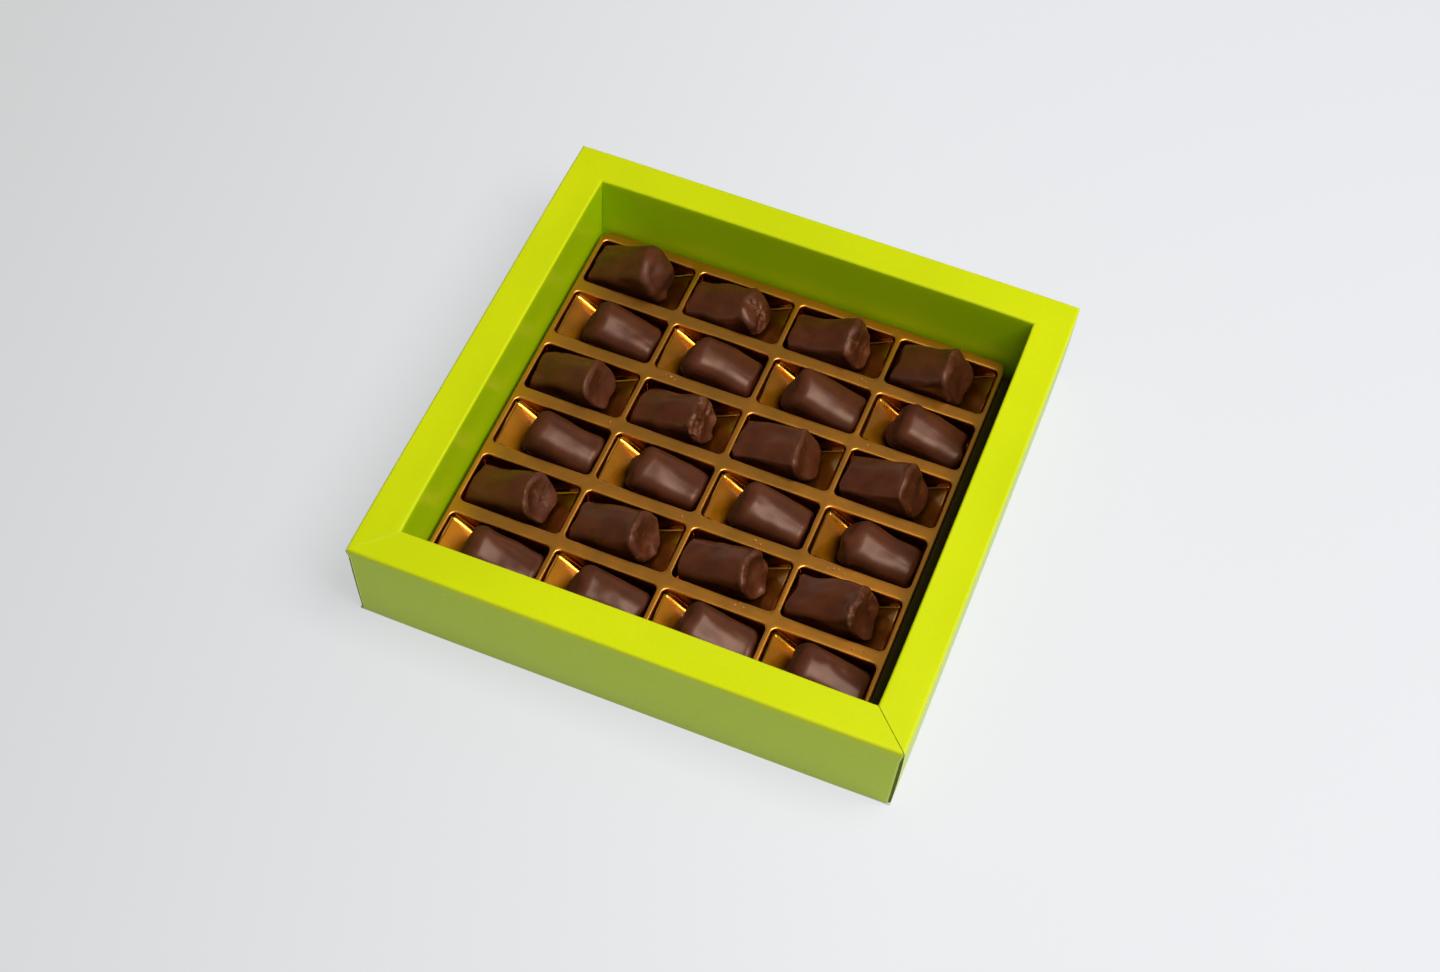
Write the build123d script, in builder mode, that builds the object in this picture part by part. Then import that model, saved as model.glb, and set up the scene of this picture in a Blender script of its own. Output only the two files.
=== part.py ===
from build123d import *
from math import asin, cos, degrees, radians, sin, tan
import os

# A square folded-card sweet box, open, with hollow walls and a flat mitred rim.
# In its well a thin gold tray holds chocolate logs in ramped pockets.
# Millimetres, +Z up. The origin is the centre of the base's underside. +X runs along the
# front wall to the right, and +Y runs from the front wall to the back wall.

# Carton
carton_width = 200.0  # over the tops of two opposite walls
carton_height = 40.0
rim_width = 14.0  # flat top of each hollow wall
card_thickness = 0.6
base_edge_radius = 0.35
wall_lean = 1.5  # how far the foot of an outer wall stands in from its top
fold_radius = 1.0  # outside of each fold
tuck_length = 12.0  # flange at the foot of each inner wall, under the tray
mitre_gap = 0.3  # seam between neighbouring walls
glue_tab_length = 11.0
glue_tab_relief = 1.5  # from a glue tab to the folds above and below it
glue_line = 0.05  # between a glue tab and the wall it is stuck to

# Tray
tray_columns = 4
tray_rows = 6
sheet_thickness = 0.4
tray_seat = 0.2  # clearance under the pockets
tray_clearance = 0.5  # to the left and back walls, where the tray is pushed up
tray_play_right = 6.5
tray_play_front = 3.5
tray_corner = 4.0
skirt_height = 2.5  # turned-down edge round the tray
skirt_draft = 8  # degrees
side_margin = 2.15  # from the tray's sides to the end walls of the pockets
end_margin = 4.5  # from the tray's front and back to the pockets
column_web = 2.1
row_web = 5.4
pocket_depth = 11.4
pocket_corner = 2.2
corner_facets = 3  # flats in which each corner of a pocket turns
pocket_draft = 5  # degrees
ramp_angle = 28  # degrees
ramp_step = 2.0  # short wall from the flange down to the head of a ramp

# Chocolates
log_seat = 0.25  # clearance under a log
log_end_clearance = 0.6  # to the end wall of its pocket, at the floor
shoulder_radius = 3.0
ridge_radius = 9.0
foot_bevel = 1.1  # round the foot of a log
edge_wear = 0.9  # how deep the top edge of each end of a log is worn off
cut_overrun = 5.0

# Each log by its row, counted from the back, and its column, counted from the left.
# Shares: length of the pocket's length, width of its width, height of its depth at the
# low end, and ridge of the log's width, off its middle. Degrees: rise of the top above the
# underside, slant of the low and the high end, and turn in plan.
log_shares = {
    (1, 1): (0.85, 0.86, 1.18, 9, 0.06, 8, 26, -1.5),
    (1, 2): (0.81, 0.82, 1.08, 4, 0.05, 6, 26, 0.5),
    (1, 3): (0.80, 0.82, 1.08, 5, 0.02, 6, 22, 0.0),
    (1, 4): (0.78, 0.87, 1.22, 10, 0.05, 9, 18, -1.0),
    (2, 1): (0.76, 0.82, 1.08, 4, 0.05, 6, 14, 0.5),
    (2, 2): (0.77, 0.82, 1.10, 4, 0.00, 7, 12, 0.0),
    (2, 3): (0.78, 0.84, 1.10, 6, 0.08, 6, 12, 1.0),
    (2, 4): (0.78, 0.84, 1.10, 5, 0.02, 7, 13, -0.5),
    (3, 1): (0.80, 0.81, 1.08, 4, 0.04, 8, 26, 0.5),
    (3, 2): (0.79, 0.80, 1.05, 3, 0.00, 6, 24, 0.0),
    (3, 3): (0.81, 0.82, 1.06, 3, -0.02, 6, 26, 0.6),
    (3, 4): (0.82, 0.82, 1.10, 6, 0.06, 8, 23, -1.0),
    (4, 1): (0.76, 0.82, 1.08, 4, 0.05, 6, 12, 0.4),
    (4, 2): (0.76, 0.83, 1.08, 4, 0.03, 7, 12, 0.0),
    (4, 3): (0.77, 0.84, 1.10, 4, 0.06, 6, 12, 0.6),
    (4, 4): (0.76, 0.83, 1.08, 4, 0.00, 6, 13, 0.8),
    (5, 1): (0.80, 0.80, 1.06, 3, 0.04, 7, 25, -0.4),
    (5, 2): (0.80, 0.82, 1.07, 4, -0.02, 6, 24, 0.4),
    (5, 3): (0.82, 0.80, 1.06, 3, 0.02, 6, 25, 0.0),
    (5, 4): (0.82, 0.82, 1.08, 5, 0.04, 8, 22, -0.8),
    (6, 1): (0.76, 0.82, 1.08, 4, 0.05, 6, 12, 0.4),
    (6, 2): (0.76, 0.82, 1.10, 4, 0.02, 6, 13, 0.0),
    (6, 3): (0.77, 0.84, 1.10, 6, 0.04, 7, 12, 0.6),
    (6, 4): (0.77, 0.84, 1.12, 4, 0.00, 6, 12, -0.5),
}
# A log's section: half widths at its foot and shoulder, the shoulder's height, and how far
# the crown stands over the shoulder
foot_half_share = 0.50
shoulder_half_share = 0.45
shoulder_height_share = 0.86

well_width = carton_width - 2 * rim_width
tray_length = well_width - tray_clearance - tray_play_right
tray_width = well_width - tray_clearance - tray_play_front
tray_x = (tray_clearance - tray_play_right) / 2
tray_y = (tray_play_front - tray_clearance) / 2
flange_top = 2 * card_thickness + tray_seat + sheet_thickness + pocket_depth
pocket_length = (tray_length - 2 * side_margin - (tray_columns - 1) * column_web) / tray_columns
pocket_width = (tray_width - 2 * end_margin - (tray_rows - 1) * row_web) / tray_rows
ramp_head = pocket_length / 2 - ramp_step * tan(radians(pocket_draft))
ramp_foot = ramp_head - (pocket_depth - ramp_step) / tan(radians(ramp_angle))

os.makedirs("parts", exist_ok=True)


def finish(builder, name):
    """Label one piece and write its file."""
    builder.part.label = name
    export_step(builder.part, f"parts/{name}.step")


# Base panel, which the four walls stand on
base_width = carton_width - 2 * wall_lean
with BuildPart() as base_panel:
    with BuildSketch():
        Rectangle(base_width, base_width)
    extrude(amount=card_thickness)
    fillet(base_panel.faces().sort_by(Axis.Z)[0].edges(), radius=base_edge_radius)
finish(base_panel, "base_panel")


# Hollow walls
up = Vector(0, 0, 1)


def lean_at(height):
    """How far an outer wall's face stands in from its top edge at a height."""
    return wall_lean * (carton_height - height) / (carton_height - card_thickness)


def glue_tab(inward, next_inward):
    """A tab folded round the corner from the end of one wall, behind the next wall's panel."""
    corner = (inward + next_inward) * (-carton_width / 2)
    next_panel = card_thickness + glue_line
    low = card_thickness + glue_tab_relief
    high = carton_height - fold_radius - glue_tab_relief
    panel_normal = inward * (carton_height - card_thickness) + up * wall_lean
    panel_top = inward * (card_thickness / 2) + up * carton_height
    with BuildPart() as tab:
        with BuildSketch(Plane(origin=corner, x_dir=next_inward, z_dir=next_inward.cross(up))):
            Polygon(
                (lean_at(low) + next_panel, low),
                (lean_at(low) + next_panel + card_thickness, low),
                (lean_at(high) + next_panel + card_thickness, high),
                (lean_at(high) + next_panel, high),
                align=None,
            )
        extrude(amount=glue_tab_length, dir=inward)
        split(bisect_by=Plane(origin=corner + panel_top, z_dir=panel_normal), keep=Keep.TOP)
    return tab.part


def folded_wall(inward, tab_sides):
    """One wall: outer panel, rim, inner panel and the flange under the tray, mitred at its ends.

    inward points from the wall into the box. tab_sides holds, for each end with a glue tab,
    the direction from the neighbouring wall into the box.
    """
    along = inward.cross(up)
    foot = inward * (-carton_width / 2)
    with BuildPart() as wall:
        with BuildSketch(Plane(origin=foot, x_dir=inward, z_dir=along)):
            with BuildLine():
                FilletPolyline(
                    (wall_lean, card_thickness),
                    (0, carton_height),
                    (rim_width, carton_height),
                    (rim_width, 2 * card_thickness),
                    (rim_width + tuck_length, 2 * card_thickness),
                    radius=fold_radius,
                )
                offset(amount=card_thickness, side=Side.RIGHT)
            make_face()
        extrude(amount=carton_width / 2, both=True)
        for end in (along, -along):
            mitre = (-inward - end).normalized()
            split(bisect_by=Plane(origin=mitre * (mitre_gap / 2), z_dir=mitre), keep=Keep.TOP)
        for next_inward in tab_sides:
            add(glue_tab(inward, next_inward))
    return wall


to_back = Vector(0, 1, 0)
to_right = Vector(1, 0, 0)
walls = {
    "front_wall": (to_back, []),
    "back_wall": (-to_back, []),
    "left_wall": (to_right, [to_back, -to_back]),
    "right_wall": (-to_right, [to_back, -to_back]),
}
for wall_name, (inward, tab_sides) in walls.items():
    finish(folded_wall(inward, tab_sides), wall_name)


# Tray: pockets pressed into a thin sheet. Their low ends are on the left in the first row
# and on the right in the next, and so on by turns.
def pocket_place(row, column):
    """The middle of one pocket's mouth, with +X from its low end to the head of its ramp."""
    column_pitch = pocket_length + column_web
    row_pitch = pocket_width + row_web
    x = tray_x + (column - (tray_columns + 1) / 2) * column_pitch
    y = tray_y + ((tray_rows + 1) / 2 - row) * row_pitch
    return Location((x, y, flange_top), (0, 0, 0 if row % 2 else 180))


def pocket_form(skin):
    """A pocket's hollow, or with the sheet's thickness as skin the outside of its wall."""
    half_length = pocket_length / 2 - pocket_corner
    half_width = pocket_width / 2 - pocket_corner
    mouth = []
    for quarter, (x_side, y_side) in enumerate([(1, 1), (-1, 1), (-1, -1), (1, -1)]):
        for step in range(corner_facets + 1):
            turn = radians(90 * (quarter + step / corner_facets))
            x = x_side * half_length + (pocket_corner + skin) * cos(turn)
            y = y_side * half_width + (pocket_corner + skin) * sin(turn)
            mouth.append((x, y))
    ramp_normal = Vector(-sin(radians(ramp_angle)), 0, cos(radians(ramp_angle)))
    ramp_point = Vector(ramp_foot, 0, -pocket_depth) - ramp_normal * skin
    with BuildPart() as form:
        with BuildSketch():
            Polygon(*mouth, align=None)
        extrude(amount=-(pocket_depth + skin), taper=pocket_draft)
        split(bisect_by=Plane(origin=ramp_point, z_dir=ramp_normal), keep=Keep.TOP)
    return form.part


pockets = [(row, column) for row in range(1, tray_rows + 1) for column in range(1, tray_columns + 1)]
places = [pocket_place(row, column) for row, column in pockets]
skirt_flare = skirt_height * tan(radians(skirt_draft))
with BuildPart() as gold_tray:
    with BuildSketch(Plane.XY.offset(flange_top)) as outline:
        with Locations((tray_x, tray_y)):
            RectangleRounded(tray_length - 2 * skirt_flare, tray_width - 2 * skirt_flare, tray_corner)
    extrude(amount=-skirt_height, taper=-skirt_draft)
    with BuildSketch(Plane.XY.offset(flange_top - sheet_thickness)):
        with Locations((tray_x, tray_y)):
            RectangleRounded(
                tray_length - 2 * skirt_flare - 2 * sheet_thickness,
                tray_width - 2 * skirt_flare - 2 * sheet_thickness,
                tray_corner - sheet_thickness,
            )
    extrude(amount=-(skirt_height - sheet_thickness), taper=-skirt_draft, mode=Mode.SUBTRACT)
    with Locations(*places):
        add(pocket_form(sheet_thickness))
    with Locations(*places):
        add(pocket_form(0), mode=Mode.SUBTRACT)
finish(gold_tray, "gold_tray")


# Chocolates: each log lies with its low end on the pocket's floor and its high end on the ramp
def slope(angle):
    """A direction in the pocket's lengthwise plane, by its angle above the floor."""
    return Vector(cos(radians(angle)), 0, sin(radians(angle)))


def worn_edge(corner, end_normal, crown_normal):
    """The cut that takes off the edge where an end of a log meets its crown."""
    normal = (end_normal + crown_normal).normalized()
    return Plane(origin=corner + normal * edge_wear, z_dir=normal)


def chocolate_log(shares):
    """One chocolate in its pocket's own frame: a crowned prism cut by its foot and its ends."""
    length_share, width_share, height_share, rise, ridge_share, low_slant, high_slant, turn = shares
    length = length_share * pocket_length
    width = width_share * pocket_width
    height = height_share * pocket_depth
    low_x = log_end_clearance + pocket_depth * tan(radians(pocket_draft)) - pocket_length / 2
    reach = (ramp_foot - low_x) * sin(radians(ramp_angle)) / length
    tilt = ramp_angle - degrees(asin(reach))
    low_end = Vector(low_x, 0, log_seat - pocket_depth)
    high_end = low_end + slope(tilt) * length
    low_rise = height / cos(radians(rise + low_slant))
    high_rise = (height + length * sin(radians(rise))) / cos(radians(high_slant - rise))
    low_top = low_end + slope(tilt - low_slant + 90) * low_rise
    high_top = high_end + slope(tilt + high_slant + 90) * high_rise
    foot = Plane(origin=low_end, z_dir=slope(tilt + 90))
    ends = [
        Plane(origin=low_end, z_dir=slope(tilt - low_slant)),
        Plane(origin=high_end, z_dir=-slope(tilt + high_slant)),
        worn_edge(low_top, slope(tilt - low_slant), slope(tilt + rise - 90)),
        worn_edge(high_top, -slope(tilt + high_slant), slope(tilt + rise - 90)),
    ]
    below = -(length * sin(radians(rise)) + cut_overrun)
    with BuildPart() as log:
        with BuildSketch(Plane(origin=low_end, x_dir=(0, 1, 0), z_dir=slope(tilt + rise))) as section:
            with BuildLine():
                FilletPolyline(
                    (-foot_half_share * width, below),
                    (-shoulder_half_share * width, shoulder_height_share * height),
                    (ridge_share * width, height),
                    (shoulder_half_share * width, shoulder_height_share * height),
                    (foot_half_share * width, below),
                    radius=[shoulder_radius, ridge_radius, shoulder_radius],
                )
                Line((foot_half_share * width, below), (-foot_half_share * width, below))
            make_face()
        extrude(amount=length + cut_overrun)
        extrude(section.sketch, amount=-cut_overrun)
        for cut in [foot, *ends]:
            split(bisect_by=cut, keep=Keep.TOP)
        chamfer(log.faces().filter_by(foot).edges(), length=foot_bevel)
    with BuildPart() as turned_log:
        with Locations(Location((0, 0, 0), (0, 0, turn))):
            add(log.part)
    return turned_log.part


for row, column in pockets:
    with BuildPart() as chocolate:
        with Locations(pocket_place(row, column)):
            add(chocolate_log(log_shares[row, column]))
    finish(chocolate, f"chocolate_r{row}c{column}")
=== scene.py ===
"""Looks of an open square sweet box: a folded lime-green carton, a thin gold tray with ramped
pockets, and a dark chocolate log in each pocket.

Lengths in the dataclasses are millimetres and angles are degrees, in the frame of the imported
part: +X to the right along the front wall, +Y to the back wall, +Z up. Meshes are in metres.
"""
import logging
from dataclasses import dataclass
from enum import Enum
from math import asin, cos, radians, sin, tan

import bpy
import numpy as np
from bpy.types import Material, Object
from mathutils import Matrix, Vector


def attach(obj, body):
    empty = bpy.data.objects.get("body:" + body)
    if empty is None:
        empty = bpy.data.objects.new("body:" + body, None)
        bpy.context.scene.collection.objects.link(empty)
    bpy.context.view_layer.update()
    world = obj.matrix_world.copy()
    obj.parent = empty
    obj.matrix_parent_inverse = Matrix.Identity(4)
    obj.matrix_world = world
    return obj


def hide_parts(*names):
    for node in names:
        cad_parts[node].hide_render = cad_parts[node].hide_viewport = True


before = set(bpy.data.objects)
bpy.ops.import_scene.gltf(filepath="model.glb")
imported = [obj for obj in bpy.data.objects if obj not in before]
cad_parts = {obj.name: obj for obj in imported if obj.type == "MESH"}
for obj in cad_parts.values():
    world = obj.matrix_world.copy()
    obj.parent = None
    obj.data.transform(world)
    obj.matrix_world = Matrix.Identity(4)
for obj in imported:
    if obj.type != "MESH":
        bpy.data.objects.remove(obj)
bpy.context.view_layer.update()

log = logging.getLogger("sweet_box")
Array = np.ndarray
Socket = bpy.types.NodeSocket
Span = tuple[float, float]
MM = 0.001
HAIR = 0.01  # less than any real distance between two places, in millimetres
WAVES = 22  # sine waves in a ripple
WAVE_SPREAD = (0.7, 1.5)  # their lengths, as shares of the ripple's own
MOST = (0.3, 0.7)  # most of a noise's values lie here
HALF = (0.35, 0.65)  # and about half of them here


# Meshes

def add_object(name: str, data: bpy.types.ID) -> Object:
    """Make an object and link it to the scene.

    Args:
        name: Its name.
        data: Its mesh, light or camera.

    Returns:
        The object.
    """
    thing = bpy.data.objects.new(name, data)
    bpy.context.scene.collection.objects.link(thing)
    return thing


def make_mesh(name: str, points: Array, faces: list, finishes: list[Material],
              smooth_angle: float = 40.0, slots: Array | None = None, **marks: Array) -> Object:
    """Make an object at the origin from points in millimetres.

    Args:
        name: The object's name.
        points: Points, one a row.
        faces: Rows of point numbers.
        finishes: Materials, in the order of their slots.
        smooth_angle: Edges that turn more than this stay sharp.
        slots: Slot number of each face, or None for the first slot.
        marks: Values of each point, which the materials read by name.

    Returns:
        The object, linked to the scene.
    """
    mesh = bpy.data.meshes.new(name)
    mesh.from_pydata((points * MM).tolist(), [], faces)
    for finish in finishes:
        mesh.materials.append(finish)
    if slots is not None:
        mesh.polygons.foreach_set("material_index", slots.astype(np.int32))
    for mark, values in marks.items():
        layer = mesh.attributes.new(mark, "FLOAT", "POINT")
        layer.data.foreach_set("value", values.astype(np.float32))
    mesh.update()
    mesh.shade_smooth()
    mesh.set_sharp_from_angle(angle=radians(smooth_angle))
    return add_object(name, mesh)


def grid_faces(rows: int, columns: int, closed: bool = False) -> Array:
    """Quads of a grid of points that is stored row by row.

    Args:
        rows: Rows of points.
        columns: Points in a row.
        closed: Whether the last point of a row joins the first.

    Returns:
        One quad a row. Its normal is the direction along a row crossed with the direction
        from row to row.
    """
    row = np.arange(rows - 1)[:, None] * columns
    here = np.arange(columns if closed else columns - 1)[None, :]
    after = (here + 1) % columns
    corners = [row + here, row + after, row + columns + after, row + columns + here]
    return np.stack(corners, axis=-1).reshape(-1, 4)


def weld(points: Array, faces: Array, step: float = 0.004) -> tuple[Array, list]:
    """Join points that share a place, and drop what that leaves of empty faces.

    Args:
        points: Points, one a row. Columns past the third are values, carried along.
        faces: Quads.
        step: Points that round to the same multiple of it are joined.

    Returns:
        Points, and faces of three or four points.
    """
    off_grid = 0.317  # keeps round coordinates away from the line between two multiples
    keys = np.round(points[:, :3] / step + off_grid).astype(np.int64)
    _, first, number = np.unique(keys, axis=0, return_index=True, return_inverse=True)
    quads = number.reshape(-1)[faces]
    same = quads == np.roll(quads, -1, axis=1)
    whole = quads[~same.any(axis=1)]
    whole = whole[(whole[:, 0] != whole[:, 2]) & (whole[:, 1] != whole[:, 3])]
    pinched = quads[same.sum(axis=1) == 1]
    triangles = pinched[pinched != np.roll(pinched, -1, axis=1)].reshape(-1, 3)
    return points[first], whole.tolist() + triangles.tolist()


def ripple(points: Array, wavelength: float, seed: int) -> Array:
    """Smooth random relief: a sum of plane sine waves of random direction, phase and length.

    Args:
        points: Points in millimetres, last axis x, y, z.
        wavelength: Mean length of a wave.
        seed: Seed of the draw.

    Returns:
        Values about zero with a spread of about one.
    """
    draw = np.random.default_rng(seed)
    direction = draw.normal(size=(WAVES, 3))
    direction /= np.linalg.norm(direction, axis=1, keepdims=True)
    number = 2 * np.pi / (wavelength * draw.uniform(*WAVE_SPREAD, WAVES))
    phase = draw.uniform(0, 2 * np.pi, WAVES)
    waves = np.sin(points @ (direction * number[:, None]).T + phase)
    return waves.sum(axis=-1) / np.sqrt(WAVES / 2)


def smooth_step(value: Array, low: float, high: float) -> Array:
    """Rise from 0 at low to 1 at high, level at both ends."""
    share = np.clip((value - low) / (high - low), 0, 1)
    return share * share * (3 - 2 * share)


def bends(corner: Array) -> tuple[Array, Array, Array]:
    """Measure a polyline in a plane.

    Args:
        corner: Its points.

    Returns:
        Each run's length and unit direction, and the turn to the left at each inner corner.
    """
    run = np.diff(corner, axis=0)
    length = np.linalg.norm(run, axis=1)
    way = run / length[:, None]
    side = way[:-1, 0] * way[1:, 1] - way[:-1, 1] * way[1:, 0]
    return length, way, np.arctan2(side, (way[:-1] * way[1:]).sum(axis=1))


def rounded_path(corner: Array, radii: Array, steps: tuple, arc_steps: int) -> tuple[Array, Array]:
    """Sample a polyline whose inner corners give way to arcs that touch both their runs.

    Args:
        corner: Its points.
        radii: Radius at each inner corner.
        steps: Steps on each run.
        arc_steps: Steps in an arc.

    Returns:
        Points, and the unit normals on the left of the direction of travel.
    """
    _, way, turns = bends(corner)
    cuts = radii * np.abs(np.tan(turns / 2))
    starts = corner[:-1] + way * np.append(0, cuts)[:, None]
    ends = corner[1:] - way * np.append(cuts, 0)[:, None]
    points, normals = [], []
    for i, count in enumerate(steps):
        left = np.array([-way[i, 1], way[i, 0]])
        share = np.linspace(0, 1, count + 1)[:-1, None]
        points.append(starts[i] + (ends[i] - starts[i]) * share)
        normals.append(np.repeat(left[None], count, axis=0))
        if i < len(turns):
            angle = np.linspace(0, turns[i], arc_steps + 1)[:-1, None]
            spun = left * np.cos(angle) - way[i] * np.sin(angle)
            points.append(ends[i] + (left - spun) * radii[i] * np.sign(turns[i]))
            normals.append(spun)
    return np.vstack([*points, ends[-1:]]), np.vstack([*normals, left[None]])


# Finishes

def linear(hex_colour: str) -> tuple[float, float, float, float]:
    """Turn an sRGB hex colour such as "#C8DC00" to linear red, green, blue and alpha.

    Args:
        hex_colour: The colour.

    Returns:
        Four values, each from 0 to 1.
    """
    share = np.array([int(hex_colour[i:i + 2], 16) for i in (1, 3, 5)]) / 255
    value = np.where(share <= 0.04045, share / 12.92, ((share + 0.055) / 1.055) ** 2.4)
    return (*value.tolist(), 1.0)


class Nodes:
    """The node tree of a material or the world, with a method for each step they share."""

    def __init__(self, tree: bpy.types.NodeTree) -> None:
        """Empty the tree, and find the place on the object, in metres.

        Args:
            tree: The tree.
        """
        tree.nodes.clear()
        self.tree = tree
        self.place = self.add("TexCoord", out="Object")

    def add(self, kind: str, inputs: dict | None = None, out: int | str = 0) -> Socket:
        """Add a shader node.

        Args:
            kind: The node's type name after "ShaderNode".
            inputs: Settings and links: a value or another node's output, by the name of a
                property or the name or number of an input.
            out: The name or number of the output that is wanted.

        Returns:
            That output, or the node itself where it has none.
        """
        node = self.tree.nodes.new("ShaderNode" + kind)
        for key, value in (inputs or {}).items():
            if isinstance(value, Socket):
                self.tree.links.new(value, node.inputs[key])
            elif isinstance(key, str) and key in node.bl_rna.properties:
                setattr(node, key, value)
            else:
                node.inputs[key].default_value = value
        return node.outputs[out] if node.outputs else node

    def noise(self, size: float, detail: float = 2.0, distortion: float = 0.0) -> Socket:
        """Fractal noise, about 0.5, whose features are size millimetres wide."""
        return self.add("TexNoise", {"Vector": self.place, "Scale": 1 / (size * MM), "Detail": detail,
                                     "Distortion": distortion})

    def mark(self, name: str) -> Socket:
        """A mesh's own value by its name."""
        return self.add("Attribute", {"attribute_name": name}, "Fac")

    def axis(self, vector: Socket, name: str) -> Socket:
        """The part of a vector along "X", "Y" or "Z"."""
        return self.add("SeparateXYZ", {0: vector}, name)

    def math(self, operation: str, *values: Socket | float) -> Socket:
        """One operation on values or outputs."""
        return self.add("Math", {"operation": operation, **dict(enumerate(values))})

    def total(self, first: Socket, second: Socket, share: float) -> Socket:
        """The first value plus a share of the second."""
        return self.math("MULTIPLY_ADD", second, share, first)

    def spread(self, value: Socket, source: Span, target: Span = (0, 1)) -> Socket:
        """Map a value from one range to another and clamp it there."""
        return self.add("MapRange", dict(enumerate((value, *source, *target))))

    def blend(self, share: Socket, first: Socket | str, second: str) -> Socket:
        """Mix two colours. The first is an output or an sRGB hex colour."""
        first = linear(first) if isinstance(first, str) else first
        return self.add("Mix", {"data_type": "RGBA", 0: share, 6: first, 7: linear(second)}, 2)

    def bump(self, height: Socket, strength: float, relief: float) -> Socket:
        """Normals that follow a height whose whole range stands for a relief in millimetres."""
        return self.add("Bump", {"Height": height, "Strength": strength, "Distance": relief * MM})

    def facing_up(self) -> Socket:
        """How far the skin faces up, from -1 to 1."""
        return self.axis(self.add("TexCoord", out="Normal"), "Z")

    def looked_at(self) -> Socket:
        """1 for what is seen straight, in a reflection or through something, and 0 for light.

        Returns:
            The output that says so.
        """
        seen = self.add("LightPath", out="Is Camera Ray")
        for ray in ("Is Glossy Ray", "Is Transmission Ray"):
            seen = self.math("MAXIMUM", seen, self.add("LightPath", out=ray))
        return seen

    def mix(self, share: Socket, first: Socket, second: Socket) -> Socket:
        """Mix two shaders."""
        return self.add("MixShader", {0: share, 1: first, 2: second})


@dataclass(frozen=True)
class Finish:
    """A material made of nodes."""

    name: str

    def surface(self, nodes: Nodes) -> Socket:
        """Add the nodes and give the shader."""
        raise NotImplementedError

    def material(self) -> Material:
        """Build the material.

        Returns:
            The material.
        """
        material = bpy.data.materials.new(self.name)
        material.use_nodes = True
        nodes = Nodes(material.node_tree)
        nodes.add("OutputMaterial", {"Surface": self.surface(nodes)})
        return material


@dataclass(frozen=True)
class PrintedBoard(Finish):
    """Folding box board, offset printed in one lime-green flood coat under a satin varnish.

    The ink is even, with a faint mottle from the board's fibres. It is painted darker and
    greener down the panels than on the rims, as painted shade, and dull and dark low in the gap
    beside the tray, as painted shadow. The varnish gives a soft sheen and a very slight orange
    peel, and the score lines are rubbed paler.
    """

    name: str = "lime_printed_board"
    ink: str = "#DCE200"
    deep_ink: str = "#D2DB00"
    rubbed: str = "#E2EC50"
    # painted shade: the well's inner panels and the outer sides, darker and greener than the rims
    well_shade: str = "#AFD400"
    side_shade: str = "#C6DC00"
    gap_shadow_colour: str = "#66521C"  # painted shadow: the low inner panels and flaps, in the gap beside the tray, are dull and dark
    cloud_size: float = 55.0
    mottle_size: float = 1.4
    mottle_share: float = 0.35
    tone_range: Span = (0.45, 0.85)
    rub_mottle: float = 0.8
    rub_range: Span = (0.75, 1.35)
    roughness: float = 0.32
    unevenness: float = 0.05
    # rougher where the gap shadow is painted
    gap_shadow_roughness: float = 0.4
    sheen: float = 0.34  # the varnish is thin and satin
    fibre_size: float = 0.7  # real fibres are finer, and this is what still shows
    peel_size: float = 3.2
    peel_share: float = 1.4
    relief: Span = (0.12, 0.2)  # strength, and depth in millimetres
    bare_back: str = ""  # the unprinted board's colour, where a flat panel shows its upper face

    def surface(self, nodes: Nodes) -> Socket:
        """Mottled ink, changed by each mark in turn (painted shade, painted shadow, rubbing), over a fine
        relief.

        Args:
            nodes: The material's nodes.

        Returns:
            The shader.
        """
        mottle = nodes.noise(self.mottle_size, detail=3)
        tone = nodes.total(nodes.noise(self.cloud_size), mottle, self.mottle_share)
        colour = nodes.blend(nodes.spread(tone, self.tone_range), self.ink, self.deep_ink)
        # painted shade in the well and down the outer sides, and painted shadow low in the gap
        for mark, ink in (("well", self.well_shade), ("side", self.side_shade), ("gap_shadow", self.gap_shadow_colour)):
            colour = nodes.blend(nodes.mark(mark), colour, ink)
        rub = nodes.total(nodes.mark("rub"), mottle, self.rub_mottle)
        colour = nodes.blend(nodes.spread(rub, self.rub_range), colour, self.rubbed)
        if self.bare_back:
            not_under = nodes.spread(nodes.facing_up(), (-0.6, -0.4))
            colour = nodes.blend(not_under, colour, self.bare_back)
        rough = (self.roughness - self.unevenness, self.roughness + self.unevenness)
        rough = nodes.spread(mottle, MOST, rough)
        rough = nodes.total(rough, nodes.mark("gap_shadow"), self.gap_shadow_roughness)
        fibre = nodes.noise(self.fibre_size, detail=4)
        height = nodes.total(fibre, nodes.noise(self.peel_size, detail=1), self.peel_share)
        bump = nodes.bump(height, *self.relief)
        return nodes.add("BsdfPrincipled", {"Base Color": colour, "Roughness": rough, "Normal": bump,
                                            "IOR": 1.42, "Specular IOR Level": self.sheen})


@dataclass(frozen=True)
class RawBoard(Finish):
    """Cut edges and the unprinted back of the same board: pale, fibrous and matt.

    In the corner notches the same board is painted dark green, as painted shadow.
    """

    name: str = "raw_board"
    pulp: str = "#DDE38A"
    shade: str = "#C2CC5E"
    fibre_size: float = 0.5
    roughness: float = 0.85
    relief: Span = (0.3, 0.05)

    def surface(self, nodes: Nodes) -> Socket:
        """Two tones of pulp along the fibres, which also stand up.

        Args:
            nodes: The material's nodes.

        Returns:
            The shader.
        """
        fibre = nodes.noise(self.fibre_size, detail=4)
        colour = nodes.blend(nodes.spread(fibre, MOST), self.pulp, self.shade)
        bump = nodes.bump(fibre, *self.relief)
        return nodes.add("BsdfPrincipled", {"Base Color": colour, "Roughness": self.roughness,
                                            "Normal": bump, "IOR": 1.45})


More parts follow.
